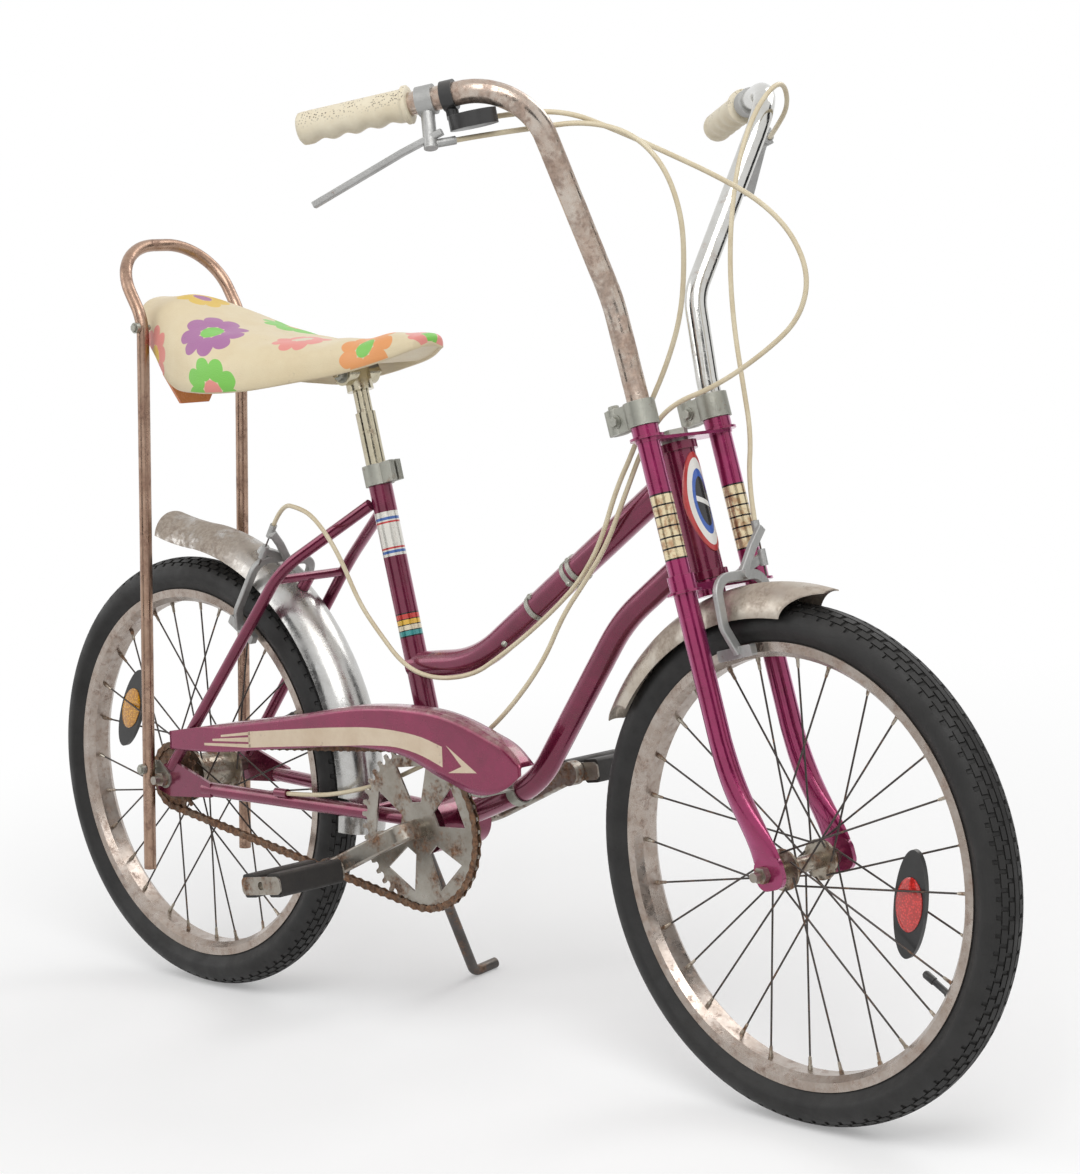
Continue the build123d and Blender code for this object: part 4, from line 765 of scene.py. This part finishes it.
# %% Studio
def seen_directly(bench):
    """One for rays from the camera, in reflections and through glass, nought for the light."""
    path = bench.put("ShaderNodeLightPath").node.outputs
    return bench.math("MAXIMUM", path["Is Camera Ray"],
                      bench.math("MAXIMUM", path["Is Glossy Ray"], path["Is Transmission Ray"]))


world = bpy.data.worlds.new("white studio")
scene.world = world
world.use_nodes = True
world.node_tree.nodes.clear()
bench = Bench(world.node_tree)
background = bench.put("ShaderNodeBackground", {
    "Color": (1, 1, 1), "Strength": bench.scaled(seen_directly(bench), 0.42, 0.58)})
bench.join(background, world.node_tree.nodes.new("ShaderNodeOutputWorld").inputs[0])


def lamp(name, place, size, watts):
    """Square soft lamp that looks at the middle of the bicycle."""
    data = bpy.data.lights.new(name, "AREA")
    data.size = size
    data.energy = watts
    piece = bpy.data.objects.new(name, data)
    aim = Vector((0, 0, 0.45)) - Vector(place)
    piece.matrix_world = (Matrix.Translation(place)
                          @ aim.to_track_quat("-Z", "Y").to_matrix().to_4x4())
    scene.collection.objects.link(piece)


lamp("key", (1.6, -1.2, 2.6), 1.6, 34)
lamp("fill", (-1.8, -1.8, 1.8), 1.6, 12)
lamp("rim", (0.2, 2.2, 2.2), 1.4, 14)


def stage_sheet(name, corners, material):
    """Flat four cornered sheet that isn't part of the bicycle."""
    mesh = bpy.data.meshes.new(name)
    mesh.from_pydata(corners, [], [(0, 1, 2, 3)])
    mesh.materials.append(material)
    piece = bpy.data.objects.new(name, mesh)
    scene.collection.objects.link(piece)
    return piece


floor_material, bench = new_material("studio floor")
seen = seen_directly(bench)
plain = bench.put("ShaderNodeBsdfDiffuse", {
    "Color": bench.mix(seen, (0.72, 0.72, 0.72), (1.0, 1.0, 1.0))})
distance = bench.vector("LENGTH", bench.place(), out=1)
fade = bench.times(bench.remap(distance, 0.5, 1.7, 0.25, 1.0), seen)
bench.close(bench.put("ShaderNodeMixShader", {0: fade, 1: plain,
                                              2: bench.put("ShaderNodeEmission")}))
card_material, bench = new_material("dark card")
bench.close(bench.put("ShaderNodeBsdfPrincipled", {"Base Color": (0.02, 0.02, 0.022),
                                                   "Roughness": 1.0}))
wide = 30.0
stage_sheet("floor", [(-wide, -wide, 0), (wide, -wide, 0), (wide, wide, 0), (-wide, wide, 0)],
            floor_material)
for n, (x1, y1, x2, y2) in enumerate(((3.0, -0.9, 2.6, -2.2), (-0.4, -3.0, -1.6, -2.8),
                                      (2.2, 2.0, 1.2, 2.6))):
    card = stage_sheet(f"card_{n}", [(x1, y1, 0.05), (x2, y2, 0.05), (x2, y2, 2.4),
                                     (x1, y1, 2.4)], card_material)
    card.visible_camera = card.visible_diffuse = card.visible_shadow = False
scene.view_settings.view_transform = "Standard"
print("studio ready")

# %% [markdown]
# ## Tyres
# The tyre is a fat low pressure one with small blocks in rows, staggered from row to row, and
# a smooth wall. Its section is a circle squashed a little, carried round the axle, and the
# tread is the same surface pushed in where a groove runs. Columns and rows of points lie just
# each side of every groove, so the blocks have steep walls without a dense mesh.

# %% Tyre surface
pitches = 92
in_pitch = np.array([0, 0.2, 0.24, 0.46, 0.5, 0.7, 0.74, 0.96])
groove = 0.0018
section_middle, section_tall, section_inner, section_half = 0.229, 0.021, 0.0135, 0.02375
bead_r = np.array([0.2145, 0.207, 0.207, 0.2145])
bead_y = np.array([0.0150, 0.0144, -0.0144, -0.0150])


def tyre_shape(hub):
    """Grid of tyre points. At section angle t the radius is that of the section's middle plus
    its height times the cosine, and y is its half width times the sine; a groove takes its
    depth off both."""
    half = [0, 6, 6.6, 9, 9.6, 22, 22.6, 25, 25.6, 40, 40.6, 42.6, 43.2, 54, 54.8, 62, 72, 82,
            92, 102, 112, 122]
    t = np.radians(np.array([-a for a in half[:0:-1]] + half))
    size = np.degrees(np.abs(t))
    turn = (np.arange(pitches)[:, None] + in_pitch).ravel() / pitches * 2 * np.pi
    step = np.tile(np.arange(len(in_pitch)), pitches)[:, None]

    def between(low, high):
        return (size > low) & (size < high)

    lines = between(6.3, 9.3) | between(22.3, 25.3) | between(40.3, 43.0)
    across_a = np.isin(step, (0, 1)) & (between(9.3, 22.3) | between(43.0, 54.5))
    across_b = np.isin(step, (4, 5)) & between(25.3, 40.3)
    cut = groove * (lines | across_a | across_b)
    r = section_middle + (np.where(size > 90, section_inner, section_tall) - cut) * np.cos(t)
    y = (section_half - cut) * np.sin(t)
    rows = len(turn)
    r = np.hstack([r, np.tile(bead_r, (rows, 1))])
    y = np.hstack([y, np.tile(bead_y, (rows, 1))])
    slant = 0.010 * np.append(np.minimum(size, 55) / 55, [0, 0, 0, 0])
    a = turn[:, None] + slant
    points = np.stack([hub[0] + r * np.cos(a), y, hub[2] + r * np.sin(a)], -1)
    return surface(points, close_rows=True)


for name, hub, front in (("front", front_hub, True), ("rear", rear_hub, False)):
    tyre = make_piece(name + "_tyre_with_tread", [tyre_shape(hub)], name + "_wheel", tyre_rubber,
                      front=front, sharp=25)
    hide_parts(name + "_tyre")

# %% [markdown]
# ## Spoke nipples and valves
# Each spoke ends in a small brass nipple at the rim. All the nipples of a wheel are one mesh:
# the same turned profile at each spoke's place.

# %% Nipples and valves
def spoke_ends(hub, flange_radius):
    """Rim ends of the spokes and the directions towards the hub, as the solid wheel has."""
    n = np.arange(28)
    side = np.where(n % 2, 1, -1)
    lead = np.where((n // 2) % 2, 1, -1)
    rim_turn = np.radians(n * 360 / 28)
    hub_turn = rim_turn + np.radians(62.0) * lead
    inner = flange_radius - 0.003
    start = hub + np.stack([inner * np.cos(hub_turn), side * (0.027 + lead * 0.0044),
                            inner * np.sin(hub_turn)], -1)
    end = hub + np.stack([0.1994 * np.cos(rim_turn), side * 0.003,
                          0.1994 * np.sin(rim_turn)], -1)
    return end, unit(start - end)


nipple = [(0, -0.001), (0.0024, -0.001), (0.0024, 0.003), (0.0018, 0.004), (0.0016, 0.011),
          (0.0011, 0.0125), (0, 0.0125)]
valve = [(0, -0.002), (0.0045, -0.002), (0.0042, 0.004), (0.0031, 0.006), (0.0031, 0.021),
         (0.0040, 0.0215), (0.0040, 0.032), (0.0028, 0.034), (0, 0.034)]
for name, hub, flange, front, turn in (("front", front_hub, 0.020, True, -36),
                                       ("rear", rear_hub, 0.031, False, 20)):
    ends, ways = spoke_ends(hub, flange)
    shapes = [turned(nipple, e, w, 8) for e, w in zip(ends, ways)]
    make_piece(name + "_nipples", shapes, name + "_wheel", hub_steel, front=front)
    out = np.array([np.cos(np.radians(turn + 6.4)), 0, np.sin(np.radians(turn + 6.4))])
    make_piece(name + "_valve", [turned(valve, hub + 0.1995 * out, -out, 14)], name + "_wheel",
               black_plastic, front=front)

# %% [markdown]
# ## Reflectors
# The wheel reflectors are almond plates with a moulded lens on each face. A lens is a low
# dome: its height falls with the square of the distance from its middle.

# %% Reflector lenses
def lens_shape(hub, place, turn, y, way, long, wide):
    """Low dome: rings of an ellipse from the rim to the middle, raised as they shrink."""
    a = np.radians(turn)
    out = np.array([np.cos(a), 0, np.sin(a)])
    along = np.array([-np.sin(a), 0, np.cos(a)])
    middle = hub + out * place + np.array([0, y, 0])
    size = np.array([1.0, 1.0, 0.93, 0.7, 0.4, 0.001])[:, None, None]
    lift = np.array([0, 0.0012, 0.0018, 0.0025, 0.003, 0.0031])[:, None, None]
    edge = circle(long * along, wide * out, 40)
    return surface(middle + size * edge + lift * np.array([0, way, 0]))


for name, hub, place, turn, material, slot, front in (
        ("front", front_hub, 0.134, -8, red_lens, "red_plastic", True),
        ("rear", rear_hub, 0.144, 154, amber_lens, "panel_plastic", False)):
    shapes = [lens_shape(hub, place, turn, -0.0053, -1, 0.026, 0.0150),
              lens_shape(hub, place, turn, -0.0007, 1, 0.026, 0.0150)]
    make_piece(name + "_lenses", shapes, name + "_wheel", material, front=front)

# %% [markdown]
# ## Grips
# The grips are soft cream vinyl with a collar at the inner end and hollows for the fingers
# below. Their surface is a turned profile whose radius dips under each finger.

# %% Grips
bar_corner = np.array([0.733, 0.173, 0.991])
bar_tip = np.array([0.5485, 0.286, 0.956])
grip_long = 0.110


def grip_shape(side):
    """Turned shell with a bore. Its radius loses a dip that is a squared cosine of the angle
    from below times a raised cosine with four waves along the grip."""
    mirror = np.array([1, side, 1])
    way = unit((bar_tip - bar_corner) * mirror)
    foot = bar_tip * mirror - way * grip_long
    body = np.c_[np.full(60, 0.0155), np.linspace(0.008, 0.104, 60)]
    profile = np.vstack([[(0, 0.104), (0.0112, 0.104), (0.0112, 0), (0.0170, 0), (0.018, 0.0008),
                          (0.018, 0.0044), (0.0160, 0.0058), (0.0155, 0.0078)], body,
                         [(0.0150, 0.1075), (0.0125, 0.1095), (0.006, 0.1105), (0, 0.1106)]])
    down = unit(np.array([0, 0, -1]) - way * -way[2])
    across = np.cross(way, down)
    angle = np.linspace(0, 2 * np.pi, 48, endpoint=False)
    r, h = profile[:, :1], profile[:, 1:]
    inside = (h > 0.010) & (h < 0.100) & (r > 0.012)
    wave = 0.5 - 0.5 * np.cos((h - 0.010) / 0.090 * 4 * 2 * np.pi)
    dip = 0.0030 * wave * np.clip(np.cos(angle), 0, 1) ** 2 * inside
    ribs = 0.0003 * np.sin(angle * 24) * np.clip(-np.cos(angle) + 0.3, 0, 1) * inside
    ring = (r - dip + ribs)[..., None] * circle(down, across, 48)
    return surface(foot + h[..., None] * way + ring)


for side, name in ((-1, "right"), (1, "left")):
    grip = make_piece(name + "_finger_grip", [grip_shape(side)], "fork", grip_vinyl,
                      front=True, sharp=50)
    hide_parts("grip_" + name)

# %% [markdown]
# ## Banana saddle
# A long padded saddle with a raised back, cream vinyl printed with big daisies, over a hollow
# pan. Its sections are rounded boxes that change along its length, so the cushion is one
# closed surface: the outside over the top, a rolled lower edge, and back along the inside.
# The print is drawn on a map of real lengths, so the flowers keep their size over the curves.

# %% Saddle surface
saddle_rows = np.array([(-0.018, 0.050, 0.800, 0.034), (0.020, 0.062, 0.799, 0.062),
                        (0.070, 0.082, 0.783, 0.078), (0.130, 0.095, 0.764, 0.068),
                        (0.190, 0.082, 0.753, 0.056), (0.250, 0.062, 0.749, 0.044),
                        (0.320, 0.044, 0.750, 0.034), (0.378, 0.034, 0.755, 0.025),
                        (0.400, 0.024, 0.753, 0.015)])


def eased(x, places, values):
    """Smooth curve through values: a cubic on each step, whose slope at a place is that of
    the straight line between its two neighbours."""
    slope = np.gradient(values, places)
    k = np.clip(np.searchsorted(places, x) - 1, 0, len(places) - 2)
    step = places[k + 1] - places[k]
    t = (x - places[k]) / step
    return ((2 * t**3 - 3 * t**2 + 1) * values[k] + (t**3 - 2 * t**2 + t) * step * slope[k]
            + (-2 * t**3 + 3 * t**2) * values[k + 1] + (t**3 - t**2) * step * slope[k + 1])


def saddle_shape():
    """Closed cushion. Across the outside, y is the half width times the cosine of t to the
    0.7 and z is the thickness times its sine to the 0.62; the inside repeats it smaller. The
    ends shrink as a quarter circle."""
    tail, nose = saddle_rows[0, 0], saddle_rows[-1, 0]
    dome = np.radians(np.linspace(90, 12, 8))
    x = np.concatenate([tail - 0.010 * np.sin(dome), np.linspace(tail, nose, 110),
                        nose + 0.006 * np.sin(dome[::-1])])
    shrink = np.concatenate([np.cos(dome), np.ones(110), np.cos(dome[::-1])])[:, None]
    at = np.clip(x, tail, nose)
    half, top, deep = (eased(at, saddle_rows[:, 0], saddle_rows[:, n])[:, None] for n in (1, 2, 3))
    hollow = np.clip(np.minimum(x - 0.015, 0.350 - x) / 0.03, 0, 1)[:, None]
    t = np.linspace(0, np.pi, 61)
    c, s = np.cos(t), np.sin(t)
    y_out = half * shrink * np.sign(c) * np.abs(c) ** 0.7
    z_out = (s ** 0.62) * deep - deep
    room = np.clip(deep - 0.020, 0.001, 1) * hollow + 0.001
    t2 = np.linspace(np.pi, 0, 31)[1:-1]
    c2, s2 = np.cos(t2), np.sin(t2)
    y_in = (half - 0.006) * shrink * np.sign(c2) * np.abs(c2) ** 0.35
    z_in = (s2 ** 0.3) * room - deep
    lip_y = np.hstack([y_out[:, -1:] + 0.002, y_out[:, -1:] + 0.005])
    lip_z = np.hstack([-deep - 0.0015, -deep - 0.001])
    y = np.hstack([y_out, lip_y, y_in, -lip_y[:, ::-1]])
    z = np.hstack([z_out, lip_z, z_in, lip_z[:, ::-1]])
    middle = -0.5 * deep
    z = top + middle + (z - middle) * shrink
    points = np.stack([np.broadcast_to(x[:, None], y.shape), y, z], -1)
    sag = 0.0009 * np.sin(x[:, None] * 95 + 2 * np.sin(y * 60)) * (z > top - 0.7 * deep)
    points[..., 2] += sag * shrink
    across = np.concatenate([np.zeros((len(x), 1)),
                             np.linalg.norm(np.diff(points[:, :61], axis=1), axis=2)], 1).cumsum(1)
    across -= across[:, 30:31]
    spare = np.full((len(x), y.shape[1] - 61), 0.5)
    uv = np.stack([np.broadcast_to(x[:, None], y.shape), np.hstack([across, spare])], -1)
    return points, uv


points, print_map = saddle_shape()
print("saddle grid", points.shape)

# %% [markdown]
# ### Daisies
# A daisy is a ring of oval petals round a disc. The group folds the circle into one petal's
# wedge, measures how far a point is from that petal's middle, and cuts at an oval.

# %% Group: daisy
daisy, bench, place, given, result = new_group(
    "daisy", [("Centre", VECTOR, None), ("Radius", FLOAT, 0.04), ("Petals", FLOAT, 9.0),
              ("Turn", FLOAT, 0.0)], [("Petals", FLOAT), ("Heart", FLOAT)])
away = bench.vector("SUBTRACT", place, given["Centre"])
reach = bench.vector("LENGTH", away, out=1)
half_wedge = bench.math("DIVIDE", np.pi, given["Petals"])
bearing = bench.math("ADD", bench.math("ARCTAN2", bench.axis(away, 1), bench.axis(away, 0)),
                     given["Turn"])
folded = bench.math("PINGPONG", bench.math("ADD", bearing, 20 * np.pi), half_wedge)
part_out, part_side = (bench.math("DIVIDE", bench.times(reach, bench.math(wave, folded)),
                                  given["Radius"]) for wave in ("COSINE", "SINE"))
long_part = bench.math("DIVIDE", bench.math("SUBTRACT", part_out, 0.66), 0.34)
side_room = bench.times(bench.math("SINE", half_wedge), 0.78)
side_part = bench.math("DIVIDE", part_side, side_room)
oval = bench.math("ADD", bench.math("POWER", bench.math("ABSOLUTE", long_part), 2.4),
                  bench.math("POWER", side_part, 2.0))
bench.join(bench.remap(oval, 1.02, 0.94), result["Petals"])
heart = bench.math("DIVIDE", reach, bench.times(given["Radius"], 0.33))
bench.join(bench.remap(heart, 1.03, 0.97), result["Heart"])

# %% Printed vinyl
purple, leaf, pink, orange, yellow = ((0.42, 0.17, 0.36), (0.22, 0.60, 0.10), (0.82, 0.30, 0.26),
                                      (0.84, 0.36, 0.13), (0.80, 0.55, 0.10))
flowers = [((0.122, 0.060), 0.041, 9, 0.3, purple, leaf),
           ((0.158, 0.130), 0.037, 9, 0.1, leaf, pink),
           ((0.232, 0.024), 0.034, 9, 0.5, pink, cream),
           ((0.345, 0.040), 0.036, 9, 0.2, orange, leaf),
           ((0.028, 0.108), 0.034, 9, 0.1, pink, yellow),
           ((0.030, -0.004), 0.032, 8, 0.6, yellow, purple),
           ((0.135, -0.052), 0.038, 9, 0.2, leaf, orange),
           ((0.065, -0.100), 0.040, 9, 0.4, orange, leaf),
           ((0.205, -0.085), 0.036, 9, 0.0, purple, yellow),
           ((0.402, -0.004), 0.026, 9, 0.3, pink, leaf),
           ((0.150, -0.140), 0.034, 8, 0.1, pink, leaf),
           ((0.300, -0.040), 0.034, 9, 0.6, leaf, pink)]
saddle_vinyl, bench = new_material("printed saddle vinyl")
place = bench.place()
flat = bench.put("ShaderNodeUVMap", uv_map="surface")
cloud = bench.put("ShaderNodeTexNoise", {"Vector": flat, "Scale": 45.0, "Detail": 2.0}, out=1)
wavy = bench.vector("MULTIPLY_ADD", bench.vector("SUBTRACT", cloud, (0.5, 0.5, 0.5)),
                    (0.004, 0.004, 0), flat)
shade = bench.mix(bench.group(blotches, place, Scale=14.0, Amount=0.5, Softness=0.25),
                  (0.80, 0.69, 0.47), (0.74, 0.61, 0.39))
for (x, y), radius, petals, turn, color, heart_color in flowers:
    ring, middle = bench.group(daisy, wavy, Centre=(x, y, 0), Radius=radius, Petals=petals,
                               Turn=turn)
    shade = bench.mix(middle, bench.mix(ring, shade, color), heart_color)
soil = bench.remap(bench.noise(place, 90.0, 8, 0.75), 0.60, 0.74)
shade = bench.mix(bench.times(soil, 0.35), shade, (0.30, 0.22, 0.14))
height = bench.scaled(bench.noise(place, 26.0, 3, 0.5), 3.0, bench.cells(place, 700.0))
bench.close(bench.put("ShaderNodeBsdfPrincipled", {
    "Base Color": shade, "Roughness": bench.remap(bench.noise(place, 30.0), 0.3, 0.7, 0.34, 0.5),
    "Normal": bench.put("ShaderNodeBump", {"Height": height, "Distance": 0.0003,
                                           "Strength": 0.6})}))

# %% Saddle piece
saddle = make_piece("padded_saddle", [surface(points)], "frame", saddle_vinyl,
                    sharp=80, uv=print_map.reshape(-1, 2))
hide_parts("saddle")

# %% [markdown]
# ## Pressed chain guard
# The guard is one pressing: a flat face whose upper edge rolls over the chain and whose nose
# is round. A section is carried along the guard between an upper and a lower curve, and a
# Solidify modifier gives the sheet its thickness.

# %% Guard surface
guard_x = np.array([0.020, 0.085, 0.225, 0.354, 0.412, 0.470, 0.530, 0.566, 0.583])
guard_top_z = np.array([0.3075, 0.3188, 0.3420, 0.3645, 0.3680, 0.3655, 0.3505, 0.3360, 0.3220])
guard_low_z = np.array([0.2872, 0.2900, 0.3070, 0.3200, 0.3170, 0.2985, 0.2880, 0.3010, 0.3140])
guard_y = -0.0662


def guard_shape():
    """Sheet of sections. Each goes up the face from the lower curve, turns through a quarter
    circle of 6 mm, and runs in over the chain for the width of the fold."""
    x = np.linspace(guard_x[0], guard_x[-1], 120)[:, None]
    top_z = eased(x, guard_x, guard_top_z)
    low_z = eased(x, guard_x, guard_low_z)
    turn = np.clip((x - 0.070) / 0.040, 0, 1)
    fold = 0.0195 * turn * turn * (3 - 2 * turn)
    bend = np.minimum(0.006, 0.30 * (top_z - low_z)) * np.maximum(turn, 0.02)
    t = np.radians(np.linspace(0, 90, 7))[None]
    up = np.linspace(0, 1, 9)[None, :-1]
    inward = np.linspace(0, 1, 4)[None, 1:]
    y = guard_y + np.hstack([np.zeros((120, 8)), bend * (1 - np.cos(t)),
                             bend + np.maximum(fold - bend, 0.0002) * inward])
    z = np.hstack([low_z + (top_z - bend - low_z) * up, top_z - bend + bend * np.sin(t),
                   np.repeat(top_z, 3, 1)])
    return surface(np.stack([np.broadcast_to(x, y.shape), y, z], -1), close_columns=False)


guard = make_piece("pressed_chain_guard", [guard_shape()], None, guard_paint,
                   sharp=60)
wall = guard.modifiers.new("sheet", "SOLIDIFY")
wall.thickness = 0.0009
wall.offset = 0.0
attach(guard, "frame")
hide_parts("chain_guard")

# %% [markdown]
# ## Stripes on the chain guard
# The guard carries a cream stripe that ends in an arrow, with three speed lines behind it.
# They are transfers, so each is a thin flat sheet just proud of the painted steel.

# %% Guard transfers
def transfer(outline, y, thick=0.0002):
    """Flat polygon in x and z, with a front and a back joined round its edge."""
    count = len(outline)
    points = np.vstack([np.c_[outline[:, 0], np.full(count, level), outline[:, 1]]
                        for level in (y, y - thick)])
    n = np.arange(count)
    walls = np.stack([n, (n + 1) % count, (n + 1) % count + count, n + count], -1)
    return [(points, walls), (points, np.array([n, (n + count)[::-1]]))]


guard_face = -0.0665
upper_x = np.array([0.160, 0.240, 0.313, 0.360, 0.407, 0.440, 0.470])
upper_z = np.array([0.3200, 0.3300, 0.3385, 0.3425, 0.3425, 0.3395, 0.3325])
lower_z = np.array([0.3020, 0.3110, 0.3185, 0.3235, 0.3250, 0.3200, 0.3110])
xs = np.linspace(0.160, 0.470, 32)
stripe = np.vstack([np.c_[xs, eased(xs, upper_x, upper_z)],
                    np.c_[xs, eased(xs, upper_x, lower_z)][::-1]])
arrow = [(0.476, 0.3345), (0.520, 0.3100), (0.478, 0.3060), (0.498, 0.3145)]
speed_lines = [[(0.112, 0.3118), (0.163, 0.3200), (0.163, 0.3165), (0.112, 0.3094)],
               [(0.097, 0.3060), (0.163, 0.3140), (0.163, 0.3085), (0.097, 0.3036)],
               [(0.082, 0.3000), (0.163, 0.3062), (0.163, 0.3020), (0.082, 0.2972)]]
stripe_cream = finish("cream transfer", (0.74, 0.62, 0.47), (0.62, 0.48, 0.34), 0.0, (0.3, 0.5),
                      dust=0.3, scratch=0.6, rust=0.14, rust_scale=60.0)
shapes = []
for outline in [stripe, arrow] + speed_lines:
    shapes += transfer(np.array(outline), guard_face)
make_piece("guard_stripe", shapes, "frame", stripe_cream)

# %% [markdown]
# ## Small hardware
# Bolts, washers, clips and studs are turned profiles too: six steps round make a hexagon.

# %% Bolts, washers and clips
def bolt_head(foot, way, radius=0.006, tall=0.004):
    """Hexagon head on a washer."""
    washer = [(0, 0), (radius * 1.35, 0), (radius * 1.35, 0.001), (0, 0.001)]
    head = [(0, 0.001), (radius, 0.001), (radius, tall), (radius * 0.85, tall + 0.0006),
            (0, tall + 0.0006)]
    return [turned(washer, foot, way, 20), turned(head, foot, way, 6)]


clamp_middle = seat_tube_top + seat_up * 0.124
hardware = []
for side in (-1, 1):
    way = np.array([0, side, 0])
    hardware += bolt_head(clamp_middle + way * 0.022, way, 0.0075, 0.006)
    for x, z in ((0.0145, 0.766), (-0.0159, 0.262)):
        hardware += bolt_head(np.array([x, side * 0.082, z]), way, 0.0045, 0.003)
make_piece("saddle_and_hoop_bolts", hardware, "frame", dull_zinc)

leg_ahead, leg_side, clamp_height = 0.0135, 0.0505, 0.4373
hardware = []
for side in (-1, 1):
    tail = fork_point(leg_ahead - 0.034, side * leg_side, clamp_height + 0.024)
    hardware += bolt_head(tail, upward, 0.0055, 0.004)
    cap = fork_point(leg_ahead - 0.028, side * leg_side - 0.0076, clamp_height + 0.012)
    hardware += bolt_head(cap, (0, -1, 0), 0.005, 0.004)
make_piece("clamp_bolts", hardware, "fork", dull_zinc, front=True)

tube_start = np.array([0.462, 0, 0.412])
tube_way = unit(fork_point(0, 0, 0.392) - tube_start)
tube_skin = 0.0146


def clip(at, way, radius, wide=0.006):
    """Thin band round a tube, closed inside."""
    band = [(radius, -wide / 2), (radius + 0.0012, -wide / 2), (radius + 0.0012, wide / 2),
            (radius, wide / 2), (radius, -wide / 2)]
    return turned(band, at, way, 28)


clips = [clip(tube_start + tube_way * s, tube_way, 0.0144) for s in (0.108, 0.171, 0.181)]
stud = [(0, 0), (0.003, 0), (0.003, 0.003), (0.0022, 0.0042), (0, 0.0045)]
for s, side in ((0.108, 1), (0.176, 1), (0.176, -1), (0.060, -1)):
    way = np.array([0, -0.7, side * 0.7])
    clips.append(turned(stud, tube_start + tube_way * s + tube_skin * way, way, 12))
make_piece("cable_clips", clips, "frame", dull_zinc)


# %% [markdown]
# ### Inner brake wires
# Where a casing stops at the upper brake arm, its bare steel wire runs on to the lower arm
# and pulls the two together. It is straight under tension, so a thin pipe is enough.

# %% Inner brake wires
def brake_wire(hub, turn, pivot, side):
    """Bare wire from the end of the casing down to the lower brake arm."""
    a = np.radians(turn)
    out = np.array([np.cos(a), 0, np.sin(a)])
    base = hub + np.array([0, side * 0.038, 0])
    return base + np.linspace(pivot + 0.052, pivot - 0.004, 8)[:, None] * out


for name, hub, turn, pivot, side, body, front in (
        ("front_brake_wire", front_hub, 104, 0.279, 1, "fork", True),
        ("rear_brake_wire", rear_hub, 58, 0.301, -1, "frame", False)):
    wire = brake_wire(hub, turn, pivot, side)
    make_piece(name, [pipe(wire, 0.0009, 8)], body, dark_steel, front=front)
